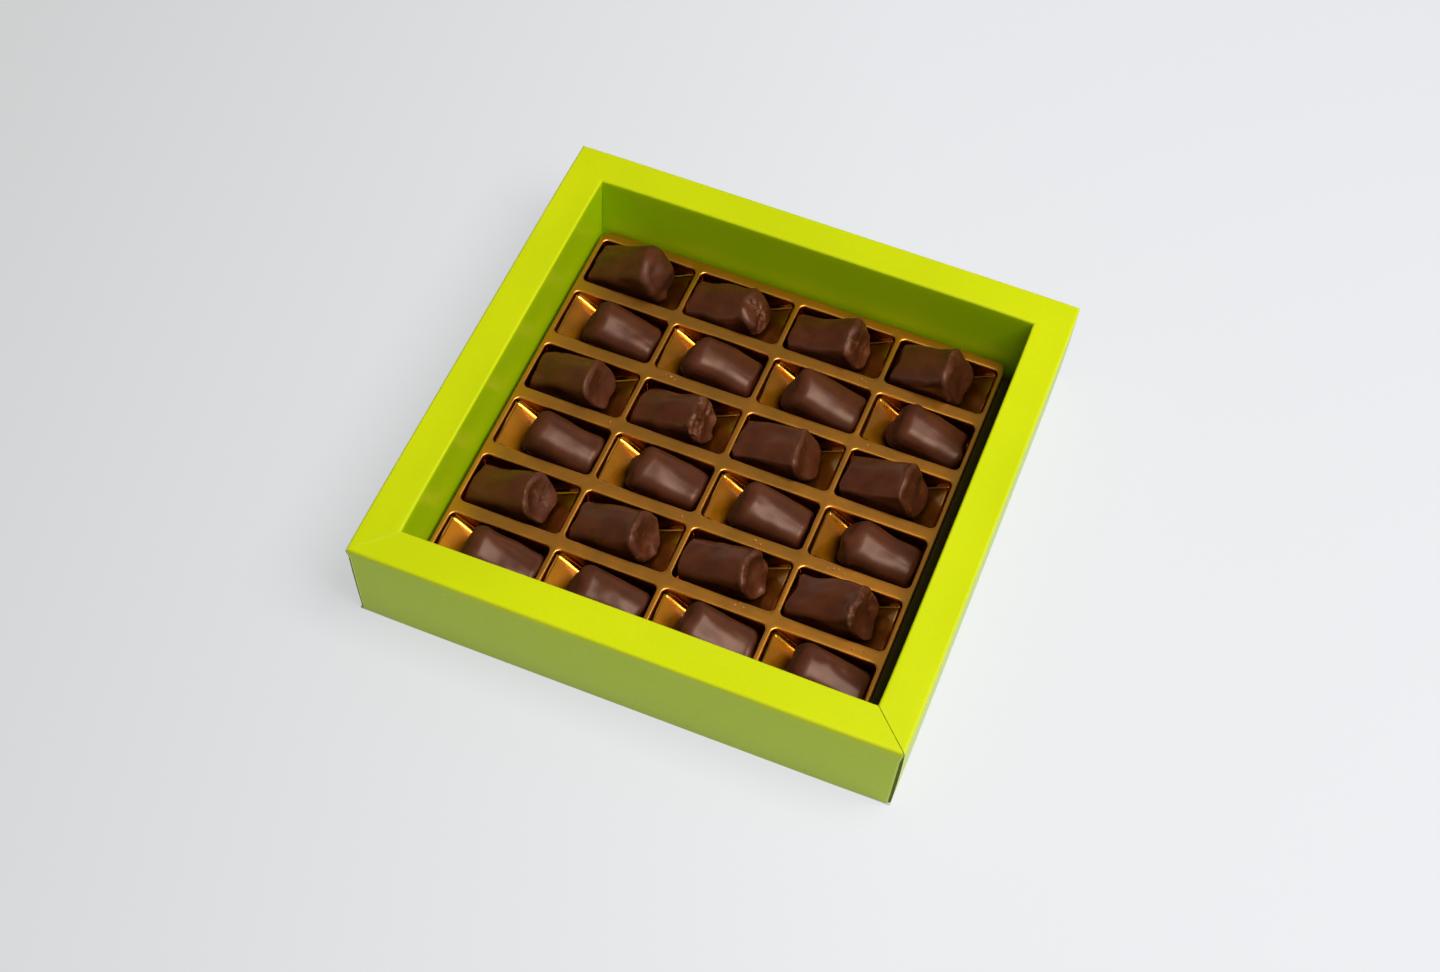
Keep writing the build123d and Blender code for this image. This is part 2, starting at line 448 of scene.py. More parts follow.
@dataclass(frozen=True)
class GoldSheet(Finish):
    """Polystyrene sheet with a vapour-deposited gold face, vacuum formed.

    Metallic, with a soft blur from the stretched film, faint draw waves on the flats, a deeper
    gold painted down in the pockets and on the ramps as painted shade, and brown smears where
    the logs were set down.
    """

    name: str = "gold_formed_sheet"
    gold: str = "#EE9934"
    deep_gold: str = "#E8932E"
    pocket_shade_gold: str = "#D08616"
    ramp_shade_gold: str = "#AF6A0C"
    smear: str = "#8E5218"
    drawn_heights: Span = (12.2, 12.9)  # from the drawn walls to the flat webs
    wave_size: float = 9.0
    grain_size: float = 0.45
    smear_size: float = 1.1
    smear_break: float = 0.9  # how much the smears are broken up
    smear_range: Span = (0.8, 1.5)
    smear_metal: float = 0.5  # how metallic a full smear still is
    roughness: float = 0.35
    unevenness: Span = (-0.06, 0.08)
    wall_gloss: float = 0.19  # less roughness, where the sheet is drawn against the polished mould
    ramp_blur: float = 0.14  # and more again on the ramps
    stretch_blur: float = 0.16  # and again in patches, where the film stretched over them
    blur_range: Span = (0.45, 1.05)
    coat: float = 0.6
    coat_roughness: float = 0.1
    wave_relief: float = 8.0  # of the waves, as a multiple of the grain's
    relief: Span = (0.25, 0.02)

    def surface(self, nodes: Nodes) -> Socket:
        """Gold painted deeper in the pockets and on the ramps as painted shade, smears over it, and roughness
        by how it was drawn.

        Args:
            nodes: The material's nodes.

        Returns:
            The shader.
        """
        wave = nodes.noise(self.wave_size)
        grain = nodes.noise(self.grain_size)
        smudge = nodes.noise(self.smear_size, detail=4, distortion=0.6)
        ramp = nodes.mark("ramp")
        low, high = self.drawn_heights
        in_pocket = nodes.spread(nodes.axis(nodes.place, "Z"), (low * MM, high * MM), (1, 0))
        colour = nodes.blend(nodes.spread(wave, HALF), self.gold, self.deep_gold)
        # painted shade: deeper gold down in the pockets, and deeper again on the ramps
        colour = nodes.blend(in_pocket, colour, self.pocket_shade_gold)
        colour = nodes.blend(ramp, colour, self.ramp_shade_gold)
        cover = nodes.total(nodes.mark("smear"), smudge, self.smear_break)
        cover = nodes.spread(cover, self.smear_range)
        colour = nodes.blend(cover, colour, self.smear)
        rough = tuple(self.roughness + more for more in self.unevenness)
        rough = nodes.spread(nodes.total(wave, grain, 0.5), self.blur_range, rough)
        rough = nodes.total(rough, in_pocket, -self.wall_gloss)
        rough = nodes.total(rough, ramp, self.ramp_blur)
        rough = nodes.total(rough, nodes.math("MULTIPLY", ramp, smudge), self.stretch_blur)
        bump = nodes.bump(nodes.total(grain, wave, self.wave_relief), *self.relief)
        metallic = nodes.spread(cover, (0, 1), (1, self.smear_metal))
        return nodes.add("BsdfPrincipled", {"Base Color": colour, "Roughness": rough, "Normal": bump,
                                            "Metallic": metallic, "Coat Weight": self.coat,
                                            "Coat Roughness": self.coat_roughness})


@dataclass(frozen=True)
class DarkChocolate(Finish):
    """Dark couverture that logs were dipped in by hand: satin, with fine set marks.

    Crowns are smooth and throw a broad soft light, while broken ends are rough and a little
    paler.
    """

    name: str = "dark_couverture"
    cocoa: str = "#582914"
    deep: str = "#481F0E"
    # paler cocoa for dry patches, also used to paint a highlight along the crests
    dry: str = "#74422A"
    flank_shade: str = "#280F07"  # painted shade: darker where the skin turns from facing up
    sheen_tint: str = "#FFD6BC"  # cocoa butter over brown warms the highlights
    flank_shade_range: Span = (0.75, 0.15)  # how far the skin faces up where the painted flank shade sets in, and where it is full
    flank_shade_share: float = 0.85
    cloud_size: float = 8.0
    pore_size: float = 0.8
    dry_break: float = 0.7  # how much the dry patches are broken up
    dry_range: Span = (0.5, 1.3)
    roughness: float = 0.35
    unevenness: Span = (-0.05, 0.16)
    matt_roughness: float = 0.35  # more, where the coat set against the belt
    sheens: Span = (0.40, 0.25)  # of the glossy and of the matt coat
    cloud_relief: float = 1.5
    relief: Span = (0.2, 0.1)

    def surface(self, nodes: Nodes) -> Socket:
        """Cloudy cocoa, painted darker down the flanks as painted shade, paler where dry and, as a painted
        highlight, along the crests, satin with a pored relief.

        Args:
            nodes: The material's nodes.

        Returns:
            The shader.
        """
        cloud = nodes.noise(self.cloud_size, detail=3)
        pore = nodes.noise(self.pore_size, detail=4)
        dry, matt = nodes.mark("dry"), nodes.mark("matt")
        colour = nodes.blend(nodes.spread(cloud, HALF), self.cocoa, self.deep)
        # painted shade down the flanks
        flank_shade = nodes.spread(nodes.facing_up(), self.flank_shade_range, (0, self.flank_shade_share))
        colour = nodes.blend(flank_shade, colour, self.flank_shade)
        patches = nodes.spread(nodes.total(dry, pore, self.dry_break), self.dry_range)
        colour = nodes.blend(patches, colour, self.dry)
        rough = tuple(self.roughness + more for more in self.unevenness)
        rough = nodes.spread(nodes.total(dry, cloud, 0.5), (0.1, 1.1), rough)
        rough = nodes.total(rough, matt, self.matt_roughness)
        bump = nodes.bump(nodes.total(pore, cloud, self.cloud_relief), *self.relief)
        sheen = nodes.spread(matt, (0, 1), self.sheens)
        return nodes.add("BsdfPrincipled", {"Base Color": colour, "Roughness": rough, "Normal": bump,
                                            "IOR": 1.62, "Specular IOR Level": sheen,
                                            "Specular Tint": linear(self.sheen_tint)})


@dataclass(frozen=True)
class StudioPaper(Finish):
    """Seamless white background paper, pale to the eye, with the box's soft shadow.

    Part of what is seen is the paper's own glow, which keeps the shadow pale and is painted
    brighter toward the light, as painted light; far from the box all of it is glow, of one even
    tone. Places here are in metres, as the nodes read them.
    """

    name: str = "studio_paper"
    paper: str = "#D0CFCF"
    # painted light: the glow's tone, on the side away from the light and on the side toward it
    shaded_tone: str = "#DADADA"
    lit_tone: str = "#F7F8FC"
    horizon: str = "#E9E9EA"
    toward_light: tuple[float, float, float] = (0.951, 0.309, 0.0)
    tone_reach: Span = (-0.38, 0.06)
    near_share: float = 0.65
    radii: Span = (0.5, 1.6)  # where the tone begins to even out, and where it is even
    roughness: float = 0.7
    tooth_size: float = 2.5
    relief: Span = (0.05, 0.05)

    def surface(self, nodes: Nodes) -> Socket:
        """Lit paper mixed with a glow that is painted brighter toward the light, as painted light, and turns
        to one even tone outward.

        Args:
            nodes: The material's nodes.

        Returns:
            The shader.
        """
        bump = nodes.bump(nodes.noise(self.tooth_size), *self.relief)
        paper = nodes.add("BsdfPrincipled", {"Base Color": linear(self.paper), "Normal": bump,
                                             "Roughness": self.roughness})
        across = nodes.add("VectorMath", {"operation": "DOT_PRODUCT", 0: nodes.place,
                                          1: self.toward_light}, "Value")
        radius = nodes.add("VectorMath", {"operation": "LENGTH", 0: nodes.place}, "Value")
        tone = nodes.blend(nodes.spread(across, self.tone_reach), self.shaded_tone, self.lit_tone)
        tone = nodes.blend(nodes.spread(radius, self.radii), tone, self.horizon)
        glow = nodes.add("Emission", {"Color": tone})
        away = nodes.spread(radius, self.radii, (self.near_share, 1))
        return nodes.mix(nodes.math("MULTIPLY", away, nodes.looked_at()), paper, glow)


# Carton

class Side(Enum):
    """The four walls, each by the direction from it into the box."""

    FRONT = (0, 1)
    BACK = (0, -1)
    LEFT = (1, 0)
    RIGHT = (-1, 0)

    @property
    def node(self) -> str:
        """The wall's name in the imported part."""
        return self.name.lower() + "_wall"

    @property
    def neighbours(self) -> tuple["Side", "Side"]:
        """The walls at the start and the end of this one."""
        into_x, into_y = self.value
        return Side((into_y, -into_x)), Side((-into_y, into_x))


@dataclass(frozen=True)
class Fold:
    """How one wall came out of the folding. Pairs are for its start and its end."""

    lean: float  # how far the outer panel's foot stands in
    bow: float  # how far the middle of the rim's inner edge stands in
    gaps: Span  # how far the rim stops short of its mitres
    drops: Span  # how far its corners sink there
    seed: int  # of the panels' waves


FOLDS = {
    Side.FRONT: Fold(1.35, 0.8, (0.05, 0.26), (0.15, 0.0), 11),
    Side.BACK: Fold(1.35, -0.2, (0.03, 0.02), (0.02, 0.0), 12),
    Side.LEFT: Fold(1.35, 0.0, (0.02, -0.25), (0.0, 0.0), 13),
    Side.RIGHT: Fold(1.25, -0.1, (0.26, 0.03), (0.06, 0.0), 14),
}


@dataclass
class Carton:
    """One blank of card, folded to a base and four hollow walls."""

    width: float = 200.0
    height: float = 40.0
    rim: float = 14.0
    card: float = 0.6
    inset: float = 0.06  # keeps the swelling card within the part's own bounds
    notch: float = 0.95  # how far a front or back panel stops short of the corner
    fold_radius: float = 1.0
    tuck: float = 12.0
    tab: float = 11.0
    tab_relief: float = 1.5
    tab_play: float = 0.17  # between a glue tab and the panel in front of it
    tab_levels: int = 9
    tab_steps: int = 7
    play: float = 0.1
    foot: float = 0.08  # the outer panels cover the base's edge down to here
    belly: float = 0.36  # how far an outer panel bulges at mid height
    inner_belly: float = 0.3
    sag: float = 0.16  # how far a rim dips between its folds
    flat_ends: float = 0.4  # how much less a panel bulges at its ends
    corner_pull: float = 0.3  # how far the corners are drawn in by the folding
    corner_power: int = 8  # of the distance along, so that only the corners are
    bow_start: float = 0.3  # of the rim's width, where the bow of its inner edge begins
    bow_foot: float = 0.3  # of the bow, that is left at the foot of the inner panel
    wave: float = 0.07
    wave_cap: float = 0.04
    wave_onset: float = 6.0  # the waves are full where the swell is over a sixth of a millimetre
    wave_length: float = 60.0
    squaring: float = 6.0  # the outer panels' ends turn from square to mitred over this height
    drop_shares: Span = (0.80, 0.97)  # of the half width, where a rim's corner sinks
    gap_shadow_heights: Span = (2.0, 9.0)  # the painted shadow is full up to the first height and gone from the last
    well_edge: float = 1.5  # width of the well's border
    fold_rub: float = 0.25
    cut_share: float = 0.993  # of the half width, past which a panel shows its cut end
    run_steps: tuple[int, ...] = (15, 5, 14, 4)  # outer panel, rim, inner panel, flap
    arc_steps: int = 6
    stations: int = 73  # along a wall, closer toward its ends

    def build(self) -> None:
        """Build the four walls and dress the base panel."""
        # painted shadow: dark green board for the side walls' end caps and glue tabs in the corner notches
        shadow_edge = RawBoard("painted_shadow_board_edge", "#6E7F22", "#54651A")
        finishes = [finish.material() for finish in (PrintedBoard(), RawBoard(), shadow_edge)]
        for side in Side:
            Wall(self, side).build(finishes)
        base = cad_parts["base_panel"]
        base.data.materials.clear()
        base.data.materials.append(PrintedBoard("base_board", bare_back="#D3CFBC").material())
        log.info("base_panel: dressed")


@dataclass
class Wall:
    """One wall: a folded section carried along its side, closed by the card's thickness.

    The section runs up the outer face, over the rim, down the inner panel and in under the
    tray. Its ends follow the mitres, but the outer panels meet squarely at the corners: a
    side wall's turns the corner behind the next one, which stops a little short of it.
    """

    box: Carton
    side: Side

    def __post_init__(self) -> None:
        """Fold the section, one place a row, and tell its panels apart."""
        box = self.box
        self.fold = FOLDS[self.side]
        self.next_leans = np.array([FOLDS[side].lean for side in self.side.neighbours])
        self.has_tabs = self.side in (Side.LEFT, Side.RIGHT)
        low = 2 * box.card
        corners = [(self.fold.lean, box.foot), (0, box.height), (box.rim, box.height), (box.rim, low),
                   (box.rim + box.tuck, low)]
        radii = np.full(3, box.fold_radius)
        skin, normal = rounded_path(np.array(corners), radii, box.run_steps, box.arc_steps)
        self.inward, self.up = skin[:, :1], skin[:, 1:]
        self.face_in, self.face_up = normal[:, :1], normal[:, 1:]
        panel = self.up < box.height - box.fold_radius
        self.outer = panel & (self.inward < self.fold.lean + HAIR)
        self.rim = self.up > box.height - HAIR
        inside = self.inward > box.rim - box.fold_radius / 2
        self.inner = panel & inside & (self.up > low + box.fold_radius)
        self.fall = np.clip((box.height - self.up) / (box.height - box.card), 0, 1)
        self.share = np.sin(np.linspace(-np.pi / 2, np.pi / 2, box.stations))[None, :]
        self.end = np.where(self.share > 0, 1, 0)
        self.pull = box.corner_pull * self.share ** box.corner_power

    def to_box(self, along: Array, inward: Array, up: Array) -> Array:
        """Turn the wall's own coordinates to the box's.

        Args:
            along: Distance along the wall from its middle.
            inward: Distance in from the top edge of its outer face.
            up: Height.

        Returns:
            Points x, y, z.
        """
        into_x, into_y = self.side.value
        reach = inward - self.box.width / 2
        return np.stack([into_y * along + into_x * reach, into_y * reach - into_x * along, up], axis=-1)

    def along(self, inward: Array) -> Array:
        """Where each station is, from a mitre that suits inward to the outer panels' square ends.

        Args:
            inward: Distance in of each place of the skin.

        Returns:
            Distance along, by place and station.
        """
        box = self.box
        mitre = box.width / 2 - inward - np.array(self.fold.gaps)[self.end]
        stop = box.card + box.play if self.has_tabs else box.notch
        square = box.width / 2 - self.next_leans[self.end] * self.fall - stop
        below = smooth_step(self.up, box.height - box.squaring, box.height - box.fold_radius)
        reach = mitre + (square - mitre) * np.where(self.outer, 1 - below, 0)
        return self.share * (reach - self.pull)

    def bulge(self, along: Array) -> Array:
        """How far the card swells: by a sine of the height or of the rim's width, and in waves.

        Args:
            along: Distance along, by place and station.

        Returns:
            Distance out of the face, by place and station.
        """
        box = self.box
        rise = np.sin(np.pi * self.fall)
        dip = box.sag * np.sin(np.pi * self.inward / box.rim)
        swell = np.select([self.outer, self.rim, self.inner],
                          [box.belly * rise, -dip, -box.inner_belly * rise], 0.0)
        place = np.stack(np.broadcast_arrays(along, self.inward, self.up), axis=-1)
        wave = box.wave * ripple(place, box.wave_length, self.fold.seed)
        wave = wave * np.clip(np.abs(swell) * box.wave_onset, 0, 1)
        return swell * (1 - box.flat_ends * self.share ** 4) + np.minimum(wave, box.wave_cap)

    def layer(self, depth: float) -> Array:
        """One skin of the card, by place of the section and station along the wall.

        The inner edge of the rim bows in by a parabola of the distance along, each end is
        drawn in by a high power of it, and the rim's corners sink.

        Args:
            depth: How deep the skin lies.

        Returns:
            Points x, y, z.
        """
        box, up = self.box, self.up
        inward = self.inward - self.face_in * depth
        along = self.along(inward)
        bulge = self.bulge(along)
        bow = self.fold.bow * smooth_step(self.inward, box.bow_start * box.rim, box.rim)
        bow = bow * (box.bow_foot + (1 - box.bow_foot) * up / box.height) * (1 - self.share ** 2)
        drop = np.array(self.fold.drops)[self.end] * smooth_step(np.abs(self.share), *box.drop_shares)
        drop = drop * (up > box.height - 2 * box.fold_radius)
        deep = inward + self.face_in * bulge + self.pull + box.inset + bow
        tall = up + self.face_up * (bulge - depth) - box.inset * smooth_step(up, 0, box.height) - drop
        return self.to_box(along, deep, tall)

    def faces(self) -> tuple[Array, Array]:
        """Join the two skins to one closed strip.

        Returns:
            Quads, and the slot of each: 0 for printed, 1 for raw and 2 for dark card, a painted shadow.
        """
        rows, columns = len(self.up), self.share.size
        quads = grid_faces(2 * rows + 1, columns) % (2 * rows * columns)
        slots = np.repeat(np.arange(2 * rows) >= rows - 1, columns - 1).astype(int)
        first = np.arange(rows - 1)
        mate = 2 * rows - 1 - first
        start_cap = np.stack([first, first + 1, mate - 1, mate], axis=-1) * columns
        end_cap = start_cap[:, ::-1] + columns - 1
        # painted shadow: the side walls' outer end caps take the dark card
        cap_slots = np.where(self.outer[:-1, 0] & self.has_tabs, 2, 1)
        return np.concatenate([quads, start_cap, end_cap]), np.concatenate([slots, cap_slots, cap_slots])

    def marks(self) -> dict[str, Array]:
        """Values of the points of both skins: rubbed, painted shade in the well, painted shadow low in the
        gap, and painted shade down a side.

        Returns:
            Values by the name of the mark.
        """
        box = self.box
        below = box.height - self.up
        turning = np.abs(np.gradient(np.arctan2(self.face_up, self.face_in), axis=0)) > radians(1)
        cut = (np.abs(self.share) > box.cut_share) & self.outer & (not self.has_tabs)
        # painted shade: the well's inner panels, and the outer sides below the fold
        well = smooth_step(self.inward, box.rim - box.well_edge, box.rim)
        well = well * smooth_step(below, 0, box.well_edge)
        # painted shadow: low on the inner panels and flaps, in the gap beside the tray
        gap_shadow = np.where(self.inward > box.rim - HAIR, 1 - smooth_step(self.up, *box.gap_shadow_heights), 0)
        side = np.where(self.outer, smooth_step(below, box.fold_radius, 1 + box.fold_radius), 0)
        values = np.broadcast_arrays(np.maximum(box.fold_rub * turning, cut), well, gap_shadow, side)
        both = (np.concatenate([value, value[::-1]]).reshape(-1) for value in values)
        return dict(zip(("rub", "well", "gap_shadow", "side"), both))

    def glue_tab(self, sign: int) -> tuple[Array, Array]:
        """The tab that turns the corner behind the next wall's panel.

        It is a closed strip: a loop of two skins in plan, carried up the leaning panel.

        Args:
            sign: 1 for the end that the wall's along direction points to, -1 for the other.

        Returns:
            Points and quads.
        """
        box = self.box
        top = box.height - box.fold_radius - box.tab_relief
        levels = np.linspace(box.card + box.tab_relief, top, box.tab_levels)[:, None]
        fall = (box.height - levels) / (box.height - box.card)
        reach = np.linspace(box.card, box.tab, box.tab_steps)
        inward = np.append(reach, reach[::-1]) + self.fold.lean * fall + box.play
        depth = np.repeat([box.card, 2 * box.card], box.tab_steps) + box.tab_play
        along = sign * (box.width / 2 - self.next_leans[int(sign > 0)] * fall - depth)
        points = self.to_box(along, inward, np.broadcast_to(levels, along.shape)).reshape(-1, 3)
        count = along.shape[1]
        half = np.arange(len(reach) - 1)
        low = np.stack([half, half + 1, count - 2 - half, count - 1 - half], axis=-1)
        high = low + (len(levels) - 1) * count
        faces = np.concatenate([grid_faces(len(levels), count, closed=True), low[:, ::-1], high])
        return points, faces[:, ::sign]

    def build(self, finishes: list[Material]) -> Object:
        """Build the wall, with its glue tabs where it has any, from printed, raw and dark card, the last a
        painted shadow.

        Args:
            finishes: The printed, the raw and the dark card that is a painted shadow.

        Returns:
            The wall.
        """
        face, back = self.layer(0.0), self.layer(self.box.card)
        points = np.concatenate([face, back[::-1]]).reshape(-1, 3)
        faces, slots = self.faces()
        for sign in (1, -1) if self.has_tabs else ():
            tab, tab_faces = self.glue_tab(sign)
            faces = np.concatenate([faces, tab_faces + len(points)])
            # painted shadow: the glue tabs take the dark card
            slots = np.append(slots, np.full(len(tab_faces), 2))
            points = np.concatenate([points, tab])
        rest = (0, len(points) - 2 * len(self.up) * self.share.size)
        marks = {mark: np.pad(values, rest) for mark, values in self.marks().items()}
        piece = make_mesh(self.side.node + "_card", points, faces.tolist(), finishes, 35, slots, **marks)
        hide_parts(self.side.node)
        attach(piece, "carton")
        log.info("%s: %d faces", piece.name, len(faces))
        return piece


# Tray

@dataclass
class Tray:
    """A thin formed sheet with ramped pockets, and a short turned-down edge round it."""

    columns: int = 4
    rows: int = 6
    sheet: float = 0.4
    length: float = 165.0
    width: float = 168.0
    centre: Span = (-2.1, 1.0)  # it lies loose, a little off the part's own place
    top: float = 13.2
    corner: float = 4.0
    skirt: float = 2.5
    skirt_draft: float = 8.0
    skirt_fold: float = 0.6
    skirt_ring: float = 0.6  # of the skirt's height, where it has a ring of points
    fold_gap: float = 0.1  # between the fold and the pockets' cells
    pocket_length: float = 38.6
    pocket_width: float = 22.0
    column_pitch: float = 40.7
    row_pitch: float = 27.4
    pocket_depth: float = 11.4
    pocket_corner: float = 2.2
    pocket_draft: float = 5.0
    lip: float = 0.6
    crease: float = 2.0
    ramp_angle: float = 28.0
    ramp_step: float = 2.0
    ramp_lift: float = 0.4  # the ramp's head curls up to the flange
    lift_start: float = 0.62  # of the way from the pocket's middle to the ramp's head
    floor_crease: float = 0.7
    log_seat: float = 0.25
    log_end_clearance: float = 0.6
    web_wave: float = 0.05
    web_wave_length: float = 30.0
    seed: int = 5
    long_steps: int = 22  # samples along a pocket's long side
    short_steps: int = 9
    corner_steps: int = 6
    lip_rings: int = 5
    crease_rings: int = 7
    floor_shares: tuple[float, ...] = (0.04, 0.25, 0.5, 0.75, 1.0)  # from the crease to the middle

    @property
    def lean(self) -> float:
        """How far in a pocket's wall goes for each millimetre down."""
        return tan(radians(self.pocket_draft))

    @property
    def ramp_foot(self) -> float:
        """Where the ramp starts, from the pocket's middle."""
        head = self.pocket_length / 2 - self.ramp_step * self.lean
        return head - (self.pocket_depth - self.ramp_step) / tan(radians(self.ramp_angle))

    @property
    def core(self) -> Array:
        """Half the length and width of the tray's top between its rounded corners' centres."""
        flare = self.skirt * tan(radians(self.skirt_draft))
        return np.array([self.length, self.width]) / 2 - flare - self.corner

    def place(self, row: int, column: int) -> tuple[float, float, int]:
        """The middle of a pocket's mouth, and 1 where its low end is on the left, else -1.

        Args:
            row: Its row, from the back.
            column: Its column, from the left.

        Returns:
            x, y, and the way it faces.
        """
        x = self.centre[0] + (column - (self.columns + 1) / 2) * self.column_pitch
        y = self.centre[1] + ((self.rows + 1) / 2 - row) * self.row_pitch
        return x, y, row % 2 * 2 - 1

    def floor_height(self, x: Array) -> Array:
        """Height under the mouth: the higher of the floor and the ramp, with a rounded crease.

        Args:
            x: Places from the pocket's middle toward the ramp.

        Returns:
            Heights. Each is the root form of a maximum: half of the sum and of the rounded gap.
        """
        head = self.pocket_length / 2
        ramp = (x - self.ramp_foot) * tan(radians(self.ramp_angle)) - self.pocket_depth
        ramp = ramp + self.ramp_lift * smooth_step(x, self.lift_start * head, head)
        flat = -self.pocket_depth
        return (ramp + flat + np.sqrt((ramp - flat) ** 2 + self.floor_crease ** 2)) / 2

    def mouth(self) -> Array:
        """Samples round a pocket's mouth, anticlockwise from the front left.

        Each quarter is a straight side and the bend after it, made as the front one is and
        spun into place.

        Returns:
            For each sample, the point of the mouth's inner core, the outward direction from it,
            and its partner on the edge of the pocket's own cell.
        """
        half = np.array([self.pocket_length, self.pocket_width]) / 2 - self.pocket_corner
        cell = np.array([self.column_pitch, self.row_pitch]) / 2
        quarters = []
        for quarter, (c, s) in enumerate(((1, 0), (0, 1), (-1, 0), (0, -1))):
            (flat, tall), (wide, deep) = (half[::-1], cell[::-1]) if quarter % 2 else (half, cell)
            side = np.linspace(-flat, flat, (self.short_steps if quarter % 2 else self.long_steps) + 1)[:-1]
            x = np.append(side, np.full(self.corner_steps, flat))
            turn = np.append(0 * side, np.linspace(0, 90, self.corner_steps + 1)[:-1])
            to_edge, past = np.clip(turn / 45, 0, 1), np.clip(turn / 45 - 1, 0, 1)
            core = np.stack([x, 0 * x - tall], axis=-1)
            out = np.stack([np.sin(np.radians(turn)), -np.cos(np.radians(turn))], axis=-1)
            edge = np.stack([x + (wide - flat) * to_edge, (deep - tall) * past - deep], axis=-1)
            quarters.append(np.stack([core, out, edge]) @ np.array([[c, s], [-s, c]]))
        return np.concatenate(quarters, axis=1)

    def pocket(self) -> Array:
        """Rings of points of one pocket, from the edge of its cell in to its floor's middle.

        Each ring is the mouth moved in by a distance: over a rounded lip, down a drafted wall
        to the floor or the ramp there, round a crease, which is tighter where the wall is low,
        and straight in to the middle line.

        Returns:
            Points by ring and sample.
        """
        core, out, edge = self.mouth()
        turn = radians(90 - self.pocket_draft)
        drop = 1 - cos(turn)  # of a bend, as a share of its radius
        lip_cut = self.lip * tan(turn / 2)

        def ring(inset: Array | float, height: Array | float) -> Array:
            """Points of the mouth moved in by inset, at a height."""
            reach = self.pocket_corner - np.broadcast_to(inset, len(core))
            return np.column_stack([core + out * reach[:, None], np.broadcast_to(height, len(core))])

        border = np.pad(edge, ((0, 0), (0, 1)))
        rings = [border, (border + ring(-lip_cut, 0)) / 2]
        rings += [ring(self.lip * sin(angle) - lip_cut, self.lip * (cos(angle) - 1))
                  for angle in np.linspace(0, turn, self.lip_rings)]
        foot = np.full(len(core), self.pocket_depth)
        for _ in range(4):  # the foot's depth and its place settle on each other
            foot = -self.floor_height(ring(foot * self.lean, 0)[:, 0])
        wall_start = self.lip * drop
        crease = np.minimum(self.crease, (foot - wall_start) / drop - 2 * HAIR)
        wall_end = foot - crease * drop
        for share in (1 / 3, 2 / 3):
            depth = wall_start + (wall_end - wall_start) * share
            rings.append(ring(depth * self.lean, -depth))
        for angle in np.linspace(turn, 0, self.crease_rings):
            at = ring(foot * self.lean + crease * (tan(turn / 2) - sin(angle)), 0)
            at[:, 2] = self.floor_height(at[:, 0]) + crease * (1 - cos(angle))
            rings.append(at)
        spine = (self.pocket_length - self.pocket_width) / 2
        last = rings[-1][:, :2]
        middle = np.stack([np.clip(last[:, 0], -spine, spine), 0 * last[:, 1]], axis=-1)
        for share in self.floor_shares:
            at = last + (middle - last) * share
            rings.append(np.column_stack([at, self.floor_height(at[:, 0])]))
        return np.stack(rings)

    def outline(self, plan: Array, inset: float) -> Array:
        """The nearest points on the tray's rounded outline, moved in by inset.

        Args:
            plan: Points x, y.
            inset: How far in.

        Returns:
            Points x, y.
        """
        core = np.clip(plan, -self.core, self.core)
        way = plan - core
        way = way / np.maximum(np.linalg.norm(way, axis=1, keepdims=True), 1e-9)
        return core + way * (self.corner - inset)

    def keep_in(self, plan: Array) -> Array:
        """Move what is past the skirt's fold back to it.

        Args:
            plan: Points x, y.

        Returns:
            Points x, y.
        """
        reach = np.linalg.norm(plan - np.clip(plan, -self.core, self.core), axis=1, keepdims=True)
        inset = self.skirt_fold + self.fold_gap
        return np.where(reach > self.corner - inset, self.outline(plan, inset), plan)

    def edging(self) -> Array:
        """Rings of the flange's outer strip, its fold and the skirt, from the skirt's foot in.

        Returns:
            Points by ring and sample.
        """
        edge = self.mouth()[2]
        lines = []
        for axis, pitch, across, count in ((0, self.column_pitch, self.row_pitch, self.columns),
                                           (1, self.row_pitch, self.column_pitch, self.rows)):
            one = np.round(edge[np.abs(edge[:, 1 - axis]) > across / 2 - 1e-6, axis], 6)
            middles = (np.arange(count) - (count - 1) / 2) * pitch
            lines.append(np.unique(np.round(one + middles[:, None], 6)))
        x, y = lines
        front = np.stack([x, np.full(len(x), y[0])], axis=-1)[:-1]
        right = np.stack([np.full(len(y), x[-1]), y], axis=-1)[:-1]
        plan = np.concatenate([front, right, -front, -right])
        turn = radians(90 - self.skirt_draft)
        fold = self.skirt_fold
        flare = tan(radians(self.skirt_draft))
        profile = [(-depth * flare, -depth) for depth in (self.skirt, self.skirt * self.skirt_ring)]
        profile += [(fold * (tan(turn / 2) - sin(angle)), fold * (cos(angle) - 1))
                    for angle in np.linspace(turn, 0, self.lip_rings)]
        rings = [np.column_stack([self.outline(plan, inset), np.full(len(plan), height)])
                 for inset, height in profile]
        rings.append(np.pad(self.keep_in(plan), ((0, 0), (0, 1))))
        return np.stack(rings)

